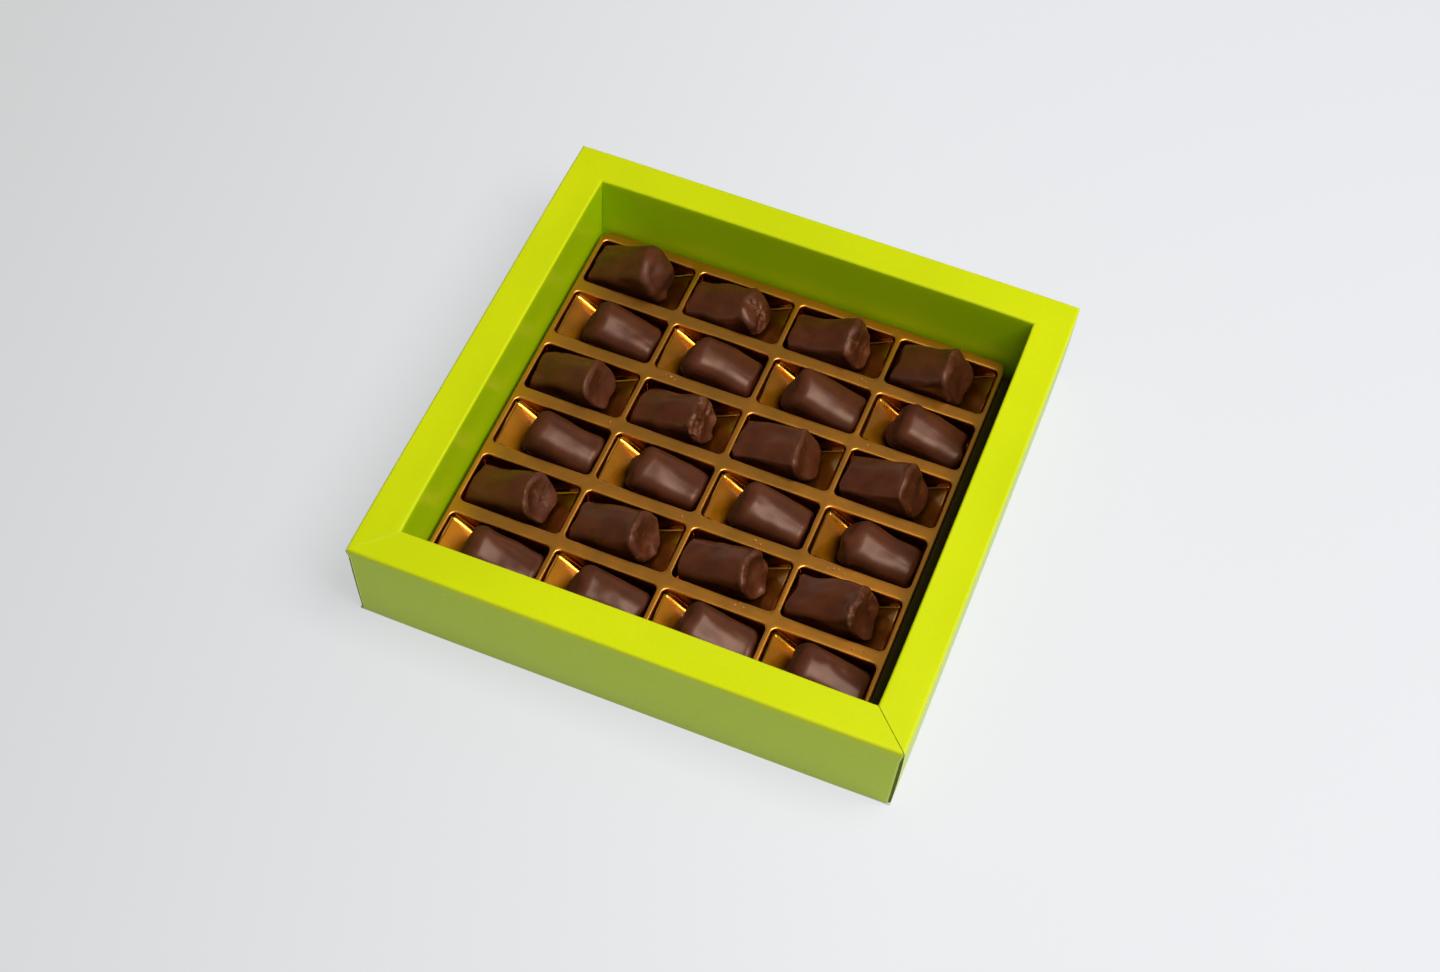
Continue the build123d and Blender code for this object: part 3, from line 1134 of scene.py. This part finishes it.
    def build(self, smears: tuple) -> Object:
        """Build the tray as one sheet, welded where the cells meet, and give it its thickness.

        Args:
            smears: Brown smears: x, y, radius and strength.

        Returns:
            The tray.
        """
        cell = self.pocket()
        rings, samples = cell.shape[:2]
        on_floor = (np.arange(rings) >= rings - len(self.floor_shares))[:, None]
        ramp = on_floor * smooth_step(cell[..., 0], self.ramp_foot, self.ramp_foot + 2)
        cell = np.dstack([cell, ramp]).reshape(-1, 4)
        one = grid_faces(rings, samples, closed=True)
        points, faces = [], []
        for row in range(1, self.rows + 1):
            for column in range(1, self.columns + 1):
                x, y, way = self.place(row, column)
                at = cell.copy()
                at[:, :2] = at[:, :2] * way + [x - self.centre[0], y - self.centre[1]]
                at[:samples, :2] = self.keep_in(at[:samples, :2])
                faces.append(one + len(points) * len(cell))
                points.append(at)
        border = self.edging()
        faces.append(grid_faces(*border.shape[:2], closed=True) + len(points) * len(cell))
        points.append(np.pad(border.reshape(-1, 3), ((0, 0), (0, 1))))
        points = np.concatenate(points) + [*self.centre, self.top, 0]
        points, faces = weld(points, np.concatenate(faces))
        points, ramp = points[:, :3].copy(), points[:, 3]
        on_web = smooth_step(points[:, 2], self.top - self.sheet, self.top)
        points[:, 2] += self.web_wave * on_web * ripple(points, self.web_wave_length, self.seed)
        smear = np.zeros(len(points))
        for x, y, radius, strength in smears:
            reach = ((points[:, 0] - x) ** 2 + (points[:, 1] - y) ** 2) / radius ** 2
            smear = np.maximum(smear, strength * np.exp(-reach))
        piece = make_mesh("gold_tray_sheet", points, faces, [GoldSheet().material()], 60,
                          smear=smear, ramp=ramp)
        thick = piece.modifiers.new("thickness", "SOLIDIFY")
        thick.thickness = self.sheet * MM
        thick.offset = -1
        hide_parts("gold_tray")
        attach(piece, "tray")
        log.info("%s: %d faces", piece.name, len(faces))
        return piece


# Chocolates

@dataclass(frozen=True)
class Lump:
    """A bump or, with a negative height, a dent.

    along runs from the middle of the log's low end, 0, to the middle of its high end, 1, and
    0.8 is the high end's edge. around runs from the foot of the side nearer the front wall, -1,
    over the crown, 0, to the foot of the other side, 1.
    """

    along: float
    around: float
    radius: float
    height: float


@dataclass(frozen=True)
class LogShape:
    """One log. Lengths are shares of its pocket's, as in the part's own table.

    rise, the slants and turn are angles. ridge says how far the crown is off the middle,
    toward the back wall, as a share of the width, and twist what is added at each end.
    """

    row: int
    column: int
    length: float
    width: float
    height: float
    rise: float
    ridge: float
    low_slant: float
    high_slant: float
    turn: float
    lumps: tuple[Lump, ...] = ()
    twist: Span = (0.0, 0.0)
    shoulder: float = 4.6
    shoulder_height: float = 0.88
    crumble: float = 0.03
    rim: float = 0.25
    low_edge: float = 1.8
    high_edge: float = 1.5
    dome: float = -0.7
    wave: float = 0.34
    roundness: float = 0.0
    matt: float = 0.2

    @property
    def node(self) -> str:
        """The log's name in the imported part."""
        return f"chocolate_r{self.row}c{self.column}"

    @property
    def back(self) -> int:
        """1 where the log's +y side is toward the back wall, else -1."""
        return 1 if self.row % 2 else -1

    @property
    def seed(self) -> int:
        """Seed of its first ripple. The others are hundreds higher."""
        return self.row * 10 + self.column


# In an odd row a log's dished, raised end shows on the right, and in an even row its smooth back,
# with the crown turning from end to end.
SMOOTH = dict(twist=(-0.1, 0.12), shoulder=6.0, shoulder_height=0.81, rim=0.0, low_edge=2.6,
              high_edge=3.8, dome=0.9, wave=0.22, roundness=0.7, matt=1.0)
LOGS = (
    LogShape(1, 1, 0.85, 0.86, 1.18, 9, 0.06, 8, 17, -1.5,
             (Lump(0.81, -0.15, 3.0, 0.7), Lump(0.84, -0.78, 1.3, 0.8), Lump(0.62, -0.45, 4.0, -0.8)),
             shoulder=5.0, rim=0.12, high_edge=3.6, dome=1.0, roundness=0.6, matt=0.4),
    LogShape(1, 2, 0.81, 0.82, 1.08, 4, 0.05, 6, 24, 0.5,
             (Lump(0.83, -0.25, 1.8, 0.5), Lump(0.90, -0.60, 1.6, 0.5)),
             crumble=0.46, rim=0.1, high_edge=2.2, dome=0.4),
    LogShape(1, 3, 0.80, 0.82, 1.08, 5, 0.02, 6, 19, 0.0,
             (Lump(0.90, 0.75, 1.4, 0.5), Lump(0.88, -0.70, 1.2, 0.5)),
             crumble=0.20, rim=0.25, high_edge=1.8, dome=-0.2),
    LogShape(1, 4, 0.78, 0.87, 1.22, 10, 0.05, 9, 15, -1.0,
             (Lump(0.72, -0.80, 2.2, -0.9), Lump(0.80, -0.62, 1.2, 0.6)),
             shoulder=5.0, crumble=0.08, rim=0.32, high_edge=2.6, dome=0.1, roundness=0.5),
    LogShape(2, 1, 0.76, 0.82, 1.08, 4, 0.02, 6, 14, 0.5,
             (Lump(0.08, -0.45, 2.2, 0.35), Lump(0.74, -0.1, 3.0, 0.3)), **SMOOTH),
    LogShape(2, 2, 0.77, 0.82, 1.10, 4, 0.00, 7, 12, 0.0,
             (Lump(0.84, -0.85, 2.2, 1.3), Lump(0.70, -0.95, 2.4, 0.8)), **SMOOTH),
    LogShape(2, 3, 0.78, 0.84, 1.10, 6, 0.04, 6, 12, 1.0,
             (Lump(0.82, -0.80, 1.6, 0.9), Lump(0.12, -0.80, 1.2, 0.6)), **SMOOTH),
    LogShape(2, 4, 0.78, 0.84, 1.10, 5, 0.02, 7, 13, -0.5,
             (Lump(0.80, 0.3, 2.0, 0.4), Lump(0.50, -0.3, 5.0, 0.3)), **SMOOTH),
    LogShape(3, 1, 0.80, 0.81, 1.08, 4, 0.04, 8, 23, 0.5,
             (Lump(0.35, 0.30, 1.2, -0.5), Lump(0.86, -0.72, 1.5, 0.4)), rim=0.4),
    LogShape(3, 2, 0.79, 0.80, 1.05, 3, 0.00, 6, 21, 0.0,
             (Lump(0.82, -0.30, 1.6, 0.7), Lump(0.88, -0.10, 1.4, 0.6), Lump(0.84, -0.85, 1.5, 0.8)),
             crumble=0.36, rim=0.1, dome=0.0),
    LogShape(3, 3, 0.81, 0.82, 1.06, 3, -0.02, 6, 23, 0.6,
             (Lump(0.90, -0.70, 1.3, 0.5), Lump(0.20, 0.65, 1.4, -0.6)),
             shoulder=2.6, crumble=0.06, rim=0.35, dome=0.1),
    LogShape(3, 4, 0.82, 0.82, 1.10, 6, 0.06, 8, 20, -1.0,
             (Lump(0.85, 0.1, 2.0, 0.4), Lump(0.90, -0.65, 1.2, 0.4)),
             shoulder=2.8, crumble=0.06, rim=0.3, dome=-0.2),
    LogShape(4, 1, 0.76, 0.82, 1.08, 4, 0.02, 6, 12, 0.4, (Lump(0.15, -0.4, 3.0, 0.25),), **SMOOTH),
    LogShape(4, 2, 0.76, 0.83, 1.08, 4, 0.02, 7, 12, 0.0,
             (Lump(0.82, -0.78, 1.6, 0.8), Lump(0.10, -0.5, 2.0, 0.3)), **SMOOTH),
    LogShape(4, 3, 0.77, 0.84, 1.10, 4, 0.03, 6, 12, 0.6, (Lump(0.76, -0.15, 2.4, 0.4),), **SMOOTH),
    LogShape(4, 4, 0.76, 0.83, 1.08, 4, 0.00, 6, 13, 0.8,
             (Lump(0.92, -0.25, 2.4, 1.6), Lump(0.80, -0.6, 1.8, 0.6)), crumble=0.06, **SMOOTH),
    LogShape(5, 1, 0.80, 0.80, 1.06, 3, 0.04, 7, 22, -0.4,
             (Lump(0.81, -0.10, 1.2, 0.4), Lump(0.86, -0.70, 1.8, 0.5)), crumble=0.18, rim=0.3),
    LogShape(5, 2, 0.80, 0.82, 1.07, 4, -0.02, 6, 21, 0.4,
             (Lump(0.90, -0.20, 1.1, -0.6), Lump(0.86, -0.85, 1.4, 0.9)), crumble=0.18, rim=0.3),
    LogShape(5, 3, 0.82, 0.80, 1.06, 3, 0.02, 6, 22, 0.0,
             (Lump(0.82, -0.35, 1.1, 0.8), Lump(0.87, -0.20, 1.0, -0.6), Lump(0.86, -0.85, 1.8, 1.2)),
             crumble=0.16, rim=0.3),
    LogShape(5, 4, 0.82, 0.82, 1.08, 5, 0.04, 8, 19, -0.8,
             (Lump(0.81, -0.15, 1.3, 0.5), Lump(0.85, 0.40, 1.4, 0.8), Lump(0.88, -0.75, 2.0, 0.6)),
             shoulder=2.8, crumble=0.2, rim=0.3),
    LogShape(6, 1, 0.76, 0.82, 1.08, 4, 0.02, 6, 12, 0.4, (Lump(0.78, 0.1, 2.5, 0.4),), **SMOOTH),
    LogShape(6, 2, 0.76, 0.82, 1.10, 4, 0.02, 6, 13, 0.0, (Lump(0.55, 0.0, 5.0, 0.3),), **SMOOTH),
    LogShape(6, 3, 0.77, 0.84, 1.10, 6, 0.02, 7, 12, 0.6, (Lump(0.74, 0.15, 3.2, 0.7),), **SMOOTH),
    LogShape(6, 4, 0.77, 0.84, 1.12, 4, 0.00, 6, 12, -0.5,
             (Lump(0.60, 0.1, 2.0, 0.3), Lump(0.40, 0.2, 1.6, 0.25)), crumble=0.06, **SMOOTH),
)


@dataclass
class Chocolates:
    """The logs, each a dipped bar that lies with one end on its pocket's floor."""

    tray: Tray
    finish: Material
    ridge_radius: float = 12.0
    foot_radii: Span = (3.2, 6.0)  # at the low and the high end
    shoulder_share: float = 0.475
    axis_height: float = 0.52  # of the log's, where its ends close
    low_dome: float = 0.8
    end_wobble: float = 0.35
    end_waves: Span = (11.0, 10.0)  # lengths, at the low and the high end
    coat_waves: Span = (16.0, 6.0)  # lengths of the coat's broad and fine waves
    fine_share: float = 0.15
    grits: Span = (3.2, 1.6)  # sizes of the coarse and the fine crumble
    grit_shares: Span = (0.6, 0.4)
    patch_size: float = 9.0
    patch_range: Span = (-0.6, 0.9)
    high_rings: Span = (-3.0, 2.0)  # from the high edge's first ring, where the end's looks set in
    crest_ring: float = 1.0
    crest_width: float = 2.5
    # painted highlight: how much paler the crest is painted
    crest_dry: float = 0.8
    base_dry: float = 0.02
    body_matt: float = 0.15  # of the high end's matt look, that the body has
    seat_heights: Span = (0.5, 5.0)  # the foot stays flat, and all relief is there from the last
    run_steps: tuple[int, ...] = (12, 12, 9, 9, 12, 12)
    arc_steps: int = 7
    face_rings: int = 9
    edge_rings: int = 9
    body_rings: int = 48

    @property
    def end_rings(self) -> int:
        """Rings of an end's face and its edge."""
        return self.face_rings + self.edge_rings

    def sizes(self, shape: LogShape) -> tuple[float, float, float, float]:
        """A log's length, its width, and its height at the low and the high end.

        Args:
            shape: The log.

        Returns:
            Four lengths.
        """
        length = shape.length * self.tray.pocket_length
        height = shape.height * self.tray.pocket_depth
        high = height + length * tan(radians(shape.rise))
        return length, shape.width * self.tray.pocket_width, height, high

    def section(self, shape: LogShape, end: int) -> Array:
        """A log's closed section, from the middle of its foot round by its +y side.

        Straight runs are joined by arcs, and the crown between its shoulders blends to a
        parabola that leaves both at the same slopes.

        Args:
            shape: The log.
            end: 0 for its low end, 1 for its high one.

        Returns:
            Points (y, z), the same number for any log.
        """
        _, width, *heights = self.sizes(shape)
        ridge = shape.back * (shape.ridge + shape.twist[end]) * width
        foot, top, shoulder = width / 2, self.shoulder_share * width, shape.shoulder_height * heights[end]
        corner = np.array([(0, 0), (foot, 0), (top, shoulder), (ridge, heights[end]),
                           (-top, shoulder), (-foot, 0), (0, 0)])
        radii = np.array([self.foot_radii[end], shape.shoulder, self.ridge_radius, shape.shoulder,
                          self.foot_radii[end]])
        length, _, turns = bends(corner)
        cuts = radii * np.tan(turns / 2)
        room = 0.96 * min(length[2] - cuts[1], length[3] - cuts[3])
        radii[2] = min(radii[2], room / tan(turns[2] / 2))  # its arc ends where a shoulder's begins
        points = rounded_path(corner, radii, self.run_steps, self.arc_steps)[0][:-1]
        first = sum(self.run_steps[:2]) + 2 * self.arc_steps
        count = sum(self.run_steps[2:4]) + self.arc_steps
        t = np.linspace(0, 1, count + 1)[:-1, None]
        curve = (1 - t) ** 2 * points[first] + 2 * t * (1 - t) * corner[3] + t ** 2 * points[first + count]
        points[first:first + count] += shape.roundness * (curve - points[first:first + count])
        return points

    def skin(self, shape: LogShape) -> Array:
        """A log's skin before its relief, lying along x with its foot at z = 0.

        The section is carried from end to end, growing with the top's rise, and shrinks to a
        pole at each slanted, uneven end over a rounded edge.

        Args:
            shape: The log.

        Returns:
            Points by ring and place round it.
        """
        length, width, height, high = self.sizes(shape)
        face = np.linspace(0, 1, self.face_rings + 1)[:-1]
        bend = np.linspace(0, np.pi / 2, self.edge_rings)
        scales, depths = [], []
        for edge, dome in ((shape.low_edge, self.low_dome), (shape.high_edge, shape.dome)):
            scale = 1 - edge / (width / 2) * (1 - np.sin(bend))
            scales.append(np.append(face * scale[0], scale))
            depths.append(np.append(-dome * (1 - face ** 2), edge * (1 - np.cos(bend)))[:, None])
        body = np.linspace(0, 1, self.body_rings + 2)[1:-1]
        growth = np.pad(body, self.end_rings, constant_values=(0, 1))[:, None, None]
        scale = np.concatenate([scales[0], np.ones(self.body_rings), scales[1][::-1]])[:, None, None]
        shapes = self.section(shape, 0) * (1 - growth) + self.section(shape, 1) * growth
        middle = np.array([0, height * self.axis_height]) * (1 + growth * (high - height) / height)
        ring = middle + (shapes - middle) * scale
        y, z = ring[..., 0], ring[..., 1]
        place = np.stack([0 * z, y, z], axis=-1)
        low, high = (ripple(place, wave, shape.seed + more) for wave, more in zip(self.end_waves, (500, 600)))
        low = z * tan(radians(shape.low_slant)) + self.end_wobble * low
        high = length - z * tan(radians(shape.high_slant)) - self.end_wobble * (1 + high)
        body = low + shape.low_edge + (high - low - shape.low_edge - shape.high_edge) * growth[..., 0]
        ends = self.end_rings
        x = np.concatenate([low[:ends] + depths[0], body[ends:-ends], high[-ends:] - depths[1][::-1]])
        return np.stack([x, y, z], axis=-1)

    def relief(self, shape: LogShape, skin: Array) -> tuple[Array, Array, Array]:
        """Move the skin along its normals: smooth waves, a crumbling high end, its rim, and lumps.

        Args:
            shape: The log.
            skin: Its points by ring and place round it.

        Returns:
            The moved points, how dry each is with the painted crest highlight added, and how matt each is.
        """
        along = np.gradient(skin, axis=0)
        around = (np.roll(skin, -1, axis=1) - np.roll(skin, 1, axis=1)) / 2
        normal = np.cross(around, along)
        normal /= np.maximum(np.linalg.norm(normal, axis=-1, keepdims=True), 1e-9)
        z, height = skin[..., 2], self.sizes(shape)[2]
        past_edge = np.arange(len(skin))[:, None] - (len(skin) - self.end_rings)
        on_high = smooth_step(past_edge, *self.high_rings)
        crest = shape.rim * np.exp(-((past_edge - self.crest_ring) / self.crest_width) ** 2)
        coat, fine, coarse_grit, fine_grit, patch = (
            ripple(skin, size, shape.seed + 100 * i)
            for i, size in enumerate((*self.coat_waves, *self.grits, self.patch_size)))
        grit = coarse_grit * self.grit_shares[0] + fine_grit * self.grit_shares[1]
        patch = smooth_step(patch, *self.patch_range)
        relief = shape.wave * (coat + self.fine_share * fine) + on_high * shape.crumble * grit * patch
        relief = relief + crest * smooth_step(z, height * 0.5, height)
        moved = skin + normal * (relief * smooth_step(z, *self.seat_heights))[..., None]
        rings, places = len(skin) - 1, skin.shape[1] - 1
        for lump in shape.lumps:
            at = moved[int(lump.along * rings), int((0.5 - shape.back * lump.around / 2) * places)]
            gap = np.linalg.norm(moved - at, axis=-1)
            moved = moved + normal * (lump.height * np.exp(-(gap / lump.radius) ** 2))[..., None]
        dry = on_high * np.clip(self.base_dry + shape.crumble * (1 + grit) * patch, 0, 1)
        # painted highlight: the crest is painted paler, added to the dry patches
        dry = dry + self.crest_dry * crest
        matt = shape.matt * (self.body_matt + (1 - self.body_matt) * on_high)
        return moved, dry, np.broadcast_to(matt, dry.shape)

    def lay(self, shape: LogShape, points: Array) -> Array:
        """Lay a log in its pocket, tilted until its high end meets the ramp, and turned in plan.

        Args:
            shape: The log.
            points: Its points.

        Returns:
            The points in the box.
        """
        tray = self.tray
        ramp_angle = radians(tray.ramp_angle)
        low_x = tray.log_end_clearance + tray.pocket_depth * tray.lean - tray.pocket_length / 2
        tilt = ramp_angle - asin((tray.ramp_foot - low_x) * sin(ramp_angle) / self.sizes(shape)[0])
        x, y, z = np.moveaxis(points, -1, 0)
        across = low_x + x * cos(tilt) - z * sin(tilt)
        up = tray.top + tray.log_seat - tray.pocket_depth + x * sin(tilt) + z * cos(tilt)
        turn = radians(shape.turn)
        mouth_x, mouth_y, way = tray.place(shape.row, shape.column)
        return np.stack([mouth_x + way * (across * cos(turn) - y * sin(turn)),
                         mouth_y + way * (across * sin(turn) + y * cos(turn)), up], axis=-1)

    def build(self, shape: LogShape) -> Object:
        """Build one log.

        Args:
            shape: The log.

        Returns:
            The log's piece.
        """
        moved, dry, matt = self.relief(shape, self.skin(shape))
        stacked = np.dstack([self.lay(shape, moved), dry, matt]).reshape(-1, 5)
        points, faces = weld(stacked, grid_faces(*dry.shape, closed=True)[:, ::-1])
        piece = make_mesh(shape.node + "_log", points[:, :3], faces, [self.finish], 180,
                          dry=points[:, 3], matt=points[:, 4])
        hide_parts(shape.node)
        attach(piece, shape.node + "_body")
        return piece


@dataclass(frozen=True)
class Crumbs:
    """Flakes that broke off the logs and lie on the tray's webs."""

    tray: Tray
    finish: Material
    stretch: tuple[float, float, float] = (1.0, 0.8, 0.55)
    roughness: float = 0.28  # relief, as a share of a flake's size
    dent_size: float = 1.3
    seed: int = 41
    spacing: float = 7.0  # each flake's dents are drawn this far from the last one's
    turn: float = 2.4  # radians from each flake to the next
    levels: int = 7
    meridians: int = 9
    rest: float = 0.8  # of a flake's half height, that it stands above the web
    dryness: float = 0.8

    def build(self, places: tuple) -> Object:
        """Lay the flakes: one small ball, stretched, turned and dented differently at each place.

        Args:
            places: For each flake its pocket's row and column, its place from the pocket's
                middle, to the right and to the back, and its radius.

        Returns:
            One mesh of all flakes.
        """
        row, column, across, away, size = np.array(places).T[..., None]
        number = np.arange(len(size))[:, None]
        lat = np.linspace(-np.pi / 2, np.pi / 2, self.levels)[:, None]
        lon = np.linspace(0, 2 * np.pi, self.meridians + 1)[None, :-1]
        ball = np.broadcast_arrays(np.cos(lat) * np.cos(lon), np.cos(lat) * np.sin(lon), np.sin(lat))
        ball = np.stack(ball, axis=-1).reshape(-1, 3)
        flakes = ball * size[..., None]
        dents = ripple(flakes + self.spacing * number[..., None], self.dent_size, self.seed)
        x, y, z = np.moveaxis(flakes * (1 + self.roughness * dents)[..., None] * self.stretch, -1, 0)
        cosine, sine = np.cos(number * self.turn), np.sin(number * self.turn)
        mouth_x, mouth_y, _ = self.tray.place(row, column)
        rest = self.tray.top + size * self.stretch[2] * self.rest
        points = np.stack([x * cosine - y * sine + mouth_x + across,
                           x * sine + y * cosine + mouth_y + away, z + rest], axis=-1)
        one = grid_faces(self.levels, self.meridians, closed=True)
        faces = (one + number[..., None] * len(ball)).reshape(-1, 4)
        points, faces = weld(points.reshape(-1, 3), faces)
        piece = make_mesh("loose_crumbs", points, faces, [self.finish], 50,
                          dry=np.full(len(points), self.dryness), matt=np.zeros(len(points)))
        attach(piece, "tray")
        log.info("%s: %d flakes", piece.name, len(size))
        return piece


CRUMBS = (
    (1, 3, 14.0, -13.3, 0.50), (1, 3, 15.6, -13.9, 0.35), (2, 2, -11.0, -13.2, 0.70),
    (2, 2, -9.4, -13.9, 0.45), (2, 2, -13.2, -12.9, 0.35), (2, 4, -15.0, -13.4, 0.35),
    (3, 1, 17.0, -13.5, 0.35), (3, 4, 15.0, -13.0, 0.40), (4, 3, 3.0, -13.3, 0.55),
    (4, 3, 5.2, -14.0, 0.40), (4, 4, -8.0, -13.5, 0.60), (4, 4, -6.4, -13.0, 0.40),
    (4, 4, -4.0, -14.1, 0.40), (4, 4, -10.2, -13.9, 0.35), (5, 2, 16.0, 13.4, 0.40),
    (5, 3, 6.0, -13.6, 0.55), (5, 3, 9.0, -13.2, 0.40), (5, 3, 12.2, -13.9, 0.35),
    (5, 4, 13.0, -13.4, 0.40), (5, 4, 9.0, -13.9, 0.45),
)
SMEARS = (
    (-35.0, 29.4, 2.4, 0.9), (17.0, 31.2, 2.0, 0.6), (-12.0, -25.6, 1.8, 0.6), (50.0, -25.6, 3.0, 0.6),
    (24.0, -53.0, 2.6, 0.6), (-76.0, 29.2, 1.6, 0.5), (-36.0, -25.4, 1.6, 0.5), (68.0, 56.4, 1.8, 0.6),
)


# Studio

@dataclass(frozen=True)
class Studio:
    """A pale floor, one large soft light from the back right, a dim even fill and the camera.

    The light's place and size and the floor's are in metres.
    """

    azimuth: float = 18.13
    elevation: float = 55.93
    roll: float = 4.24
    target: tuple[float, float, float] = (-1.61, -0.72, 0.0)
    distance: float = 821.45
    focal_px: float = 2240.97
    photo_width_px: float = 1440.0
    sensor: float = 36.0
    floor_size: float = 9.0
    light_place: tuple[float, float, float] = (0.54, -0.08, 1.08)
    light_size: float = 0.76
    light_power: float = 14.6
    light_colour: str = "#FCFDFF"
    fill_colour: str = "#E4F8F5"
    fills: Span = (0.12, 0.28)  # from the left to the right
    fill_reach: Span = (-0.8, 0.6)
    backdrop: str = "#E9E9EA"
    backdrop_top: Span = (0.3, 0.5)  # how far up it ends, as the sine of the angle

    def camera(self) -> None:
        """Turn the camera round its target, tip it by its roll, and draw it back."""
        data = bpy.data.cameras.new("camera")
        data.sensor_width = self.sensor
        data.sensor_fit = "HORIZONTAL"
        data.lens = self.focal_px / self.photo_width_px * self.sensor
        eye = add_object("camera", data)
        eye.matrix_world = Matrix.Translation(Vector(self.target) * MM)
        for angle, axis in ((self.azimuth, "Z"), (90 - self.elevation, "X"), (self.roll, "Z")):
            eye.matrix_world @= Matrix.Rotation(radians(angle), 4, axis)
        eye.matrix_world @= Matrix.Translation((0, 0, self.distance * MM))
        bpy.context.scene.camera = eye

    def floor(self) -> None:
        """Lay the floor, a plain sheet under the box."""
        corners = np.array([(-1, -1, 0), (1, -1, 0), (1, 1, 0), (-1, 1, 0)]) * self.floor_size / 2 / MM
        sheet = make_mesh("floor", corners, [[0, 1, 2, 3]], [StudioPaper().material()])

    def lights(self) -> None:
        """Hang the soft light, and set the even fill and the backdrop behind it."""
        data = bpy.data.lights.new("softbox", "AREA")
        data.shape = "SQUARE"
        data.size = self.light_size
        data.energy = self.light_power
        data.color = linear(self.light_colour)[:3]
        lamp = add_object("softbox", data)
        place = Vector(self.light_place)
        lamp.matrix_world = Matrix.Translation(place) @ place.to_track_quat("Z", "Y").to_matrix().to_4x4()
        world = bpy.data.worlds.new("studio")
        bpy.context.scene.world = world
        world.use_nodes = True
        nodes = Nodes(world.node_tree)
        way = nodes.add("TexCoord", out="Generated")
        fill = nodes.spread(nodes.axis(way, "X"), self.fill_reach, self.fills)
        room = nodes.add("Background", {"Color": linear(self.fill_colour), "Strength": fill})
        backdrop = nodes.add("Background", {"Color": linear(self.backdrop)})
        low = nodes.spread(nodes.axis(way, "Z"), self.backdrop_top, (1, 0))
        both = nodes.mix(nodes.math("MULTIPLY", low, nodes.looked_at()), room, backdrop)
        nodes.add("OutputWorld", {"Surface": both})

    def build(self) -> None:
        """Set the whole stage."""
        self.camera()
        self.floor()
        self.lights()
        bpy.context.scene.view_settings.view_transform = "Standard"


def main() -> None:
    """Build the carton, the tray and the chocolates, and set the stage round them."""
    logging.basicConfig(level=logging.INFO, format="%(name)s: %(message)s")
    Studio().build()
    Carton().build()
    tray = Tray()
    tray.build(SMEARS)
    chocolates = Chocolates(tray, DarkChocolate().material())
    for shape in LOGS:
        chocolates.build(shape)
    log.info("%d logs", len(LOGS))
    # Baked filling broken to crumbs under the same couverture: matt, dry and tan.
    filling = DarkChocolate("filling_crumbs", cocoa="#A0703C", deep="#8A5C2C", dry="#B8864C")
    Crumbs(tray, filling.material()).build(CRUMBS)


if __name__ == "__main__":
    main()
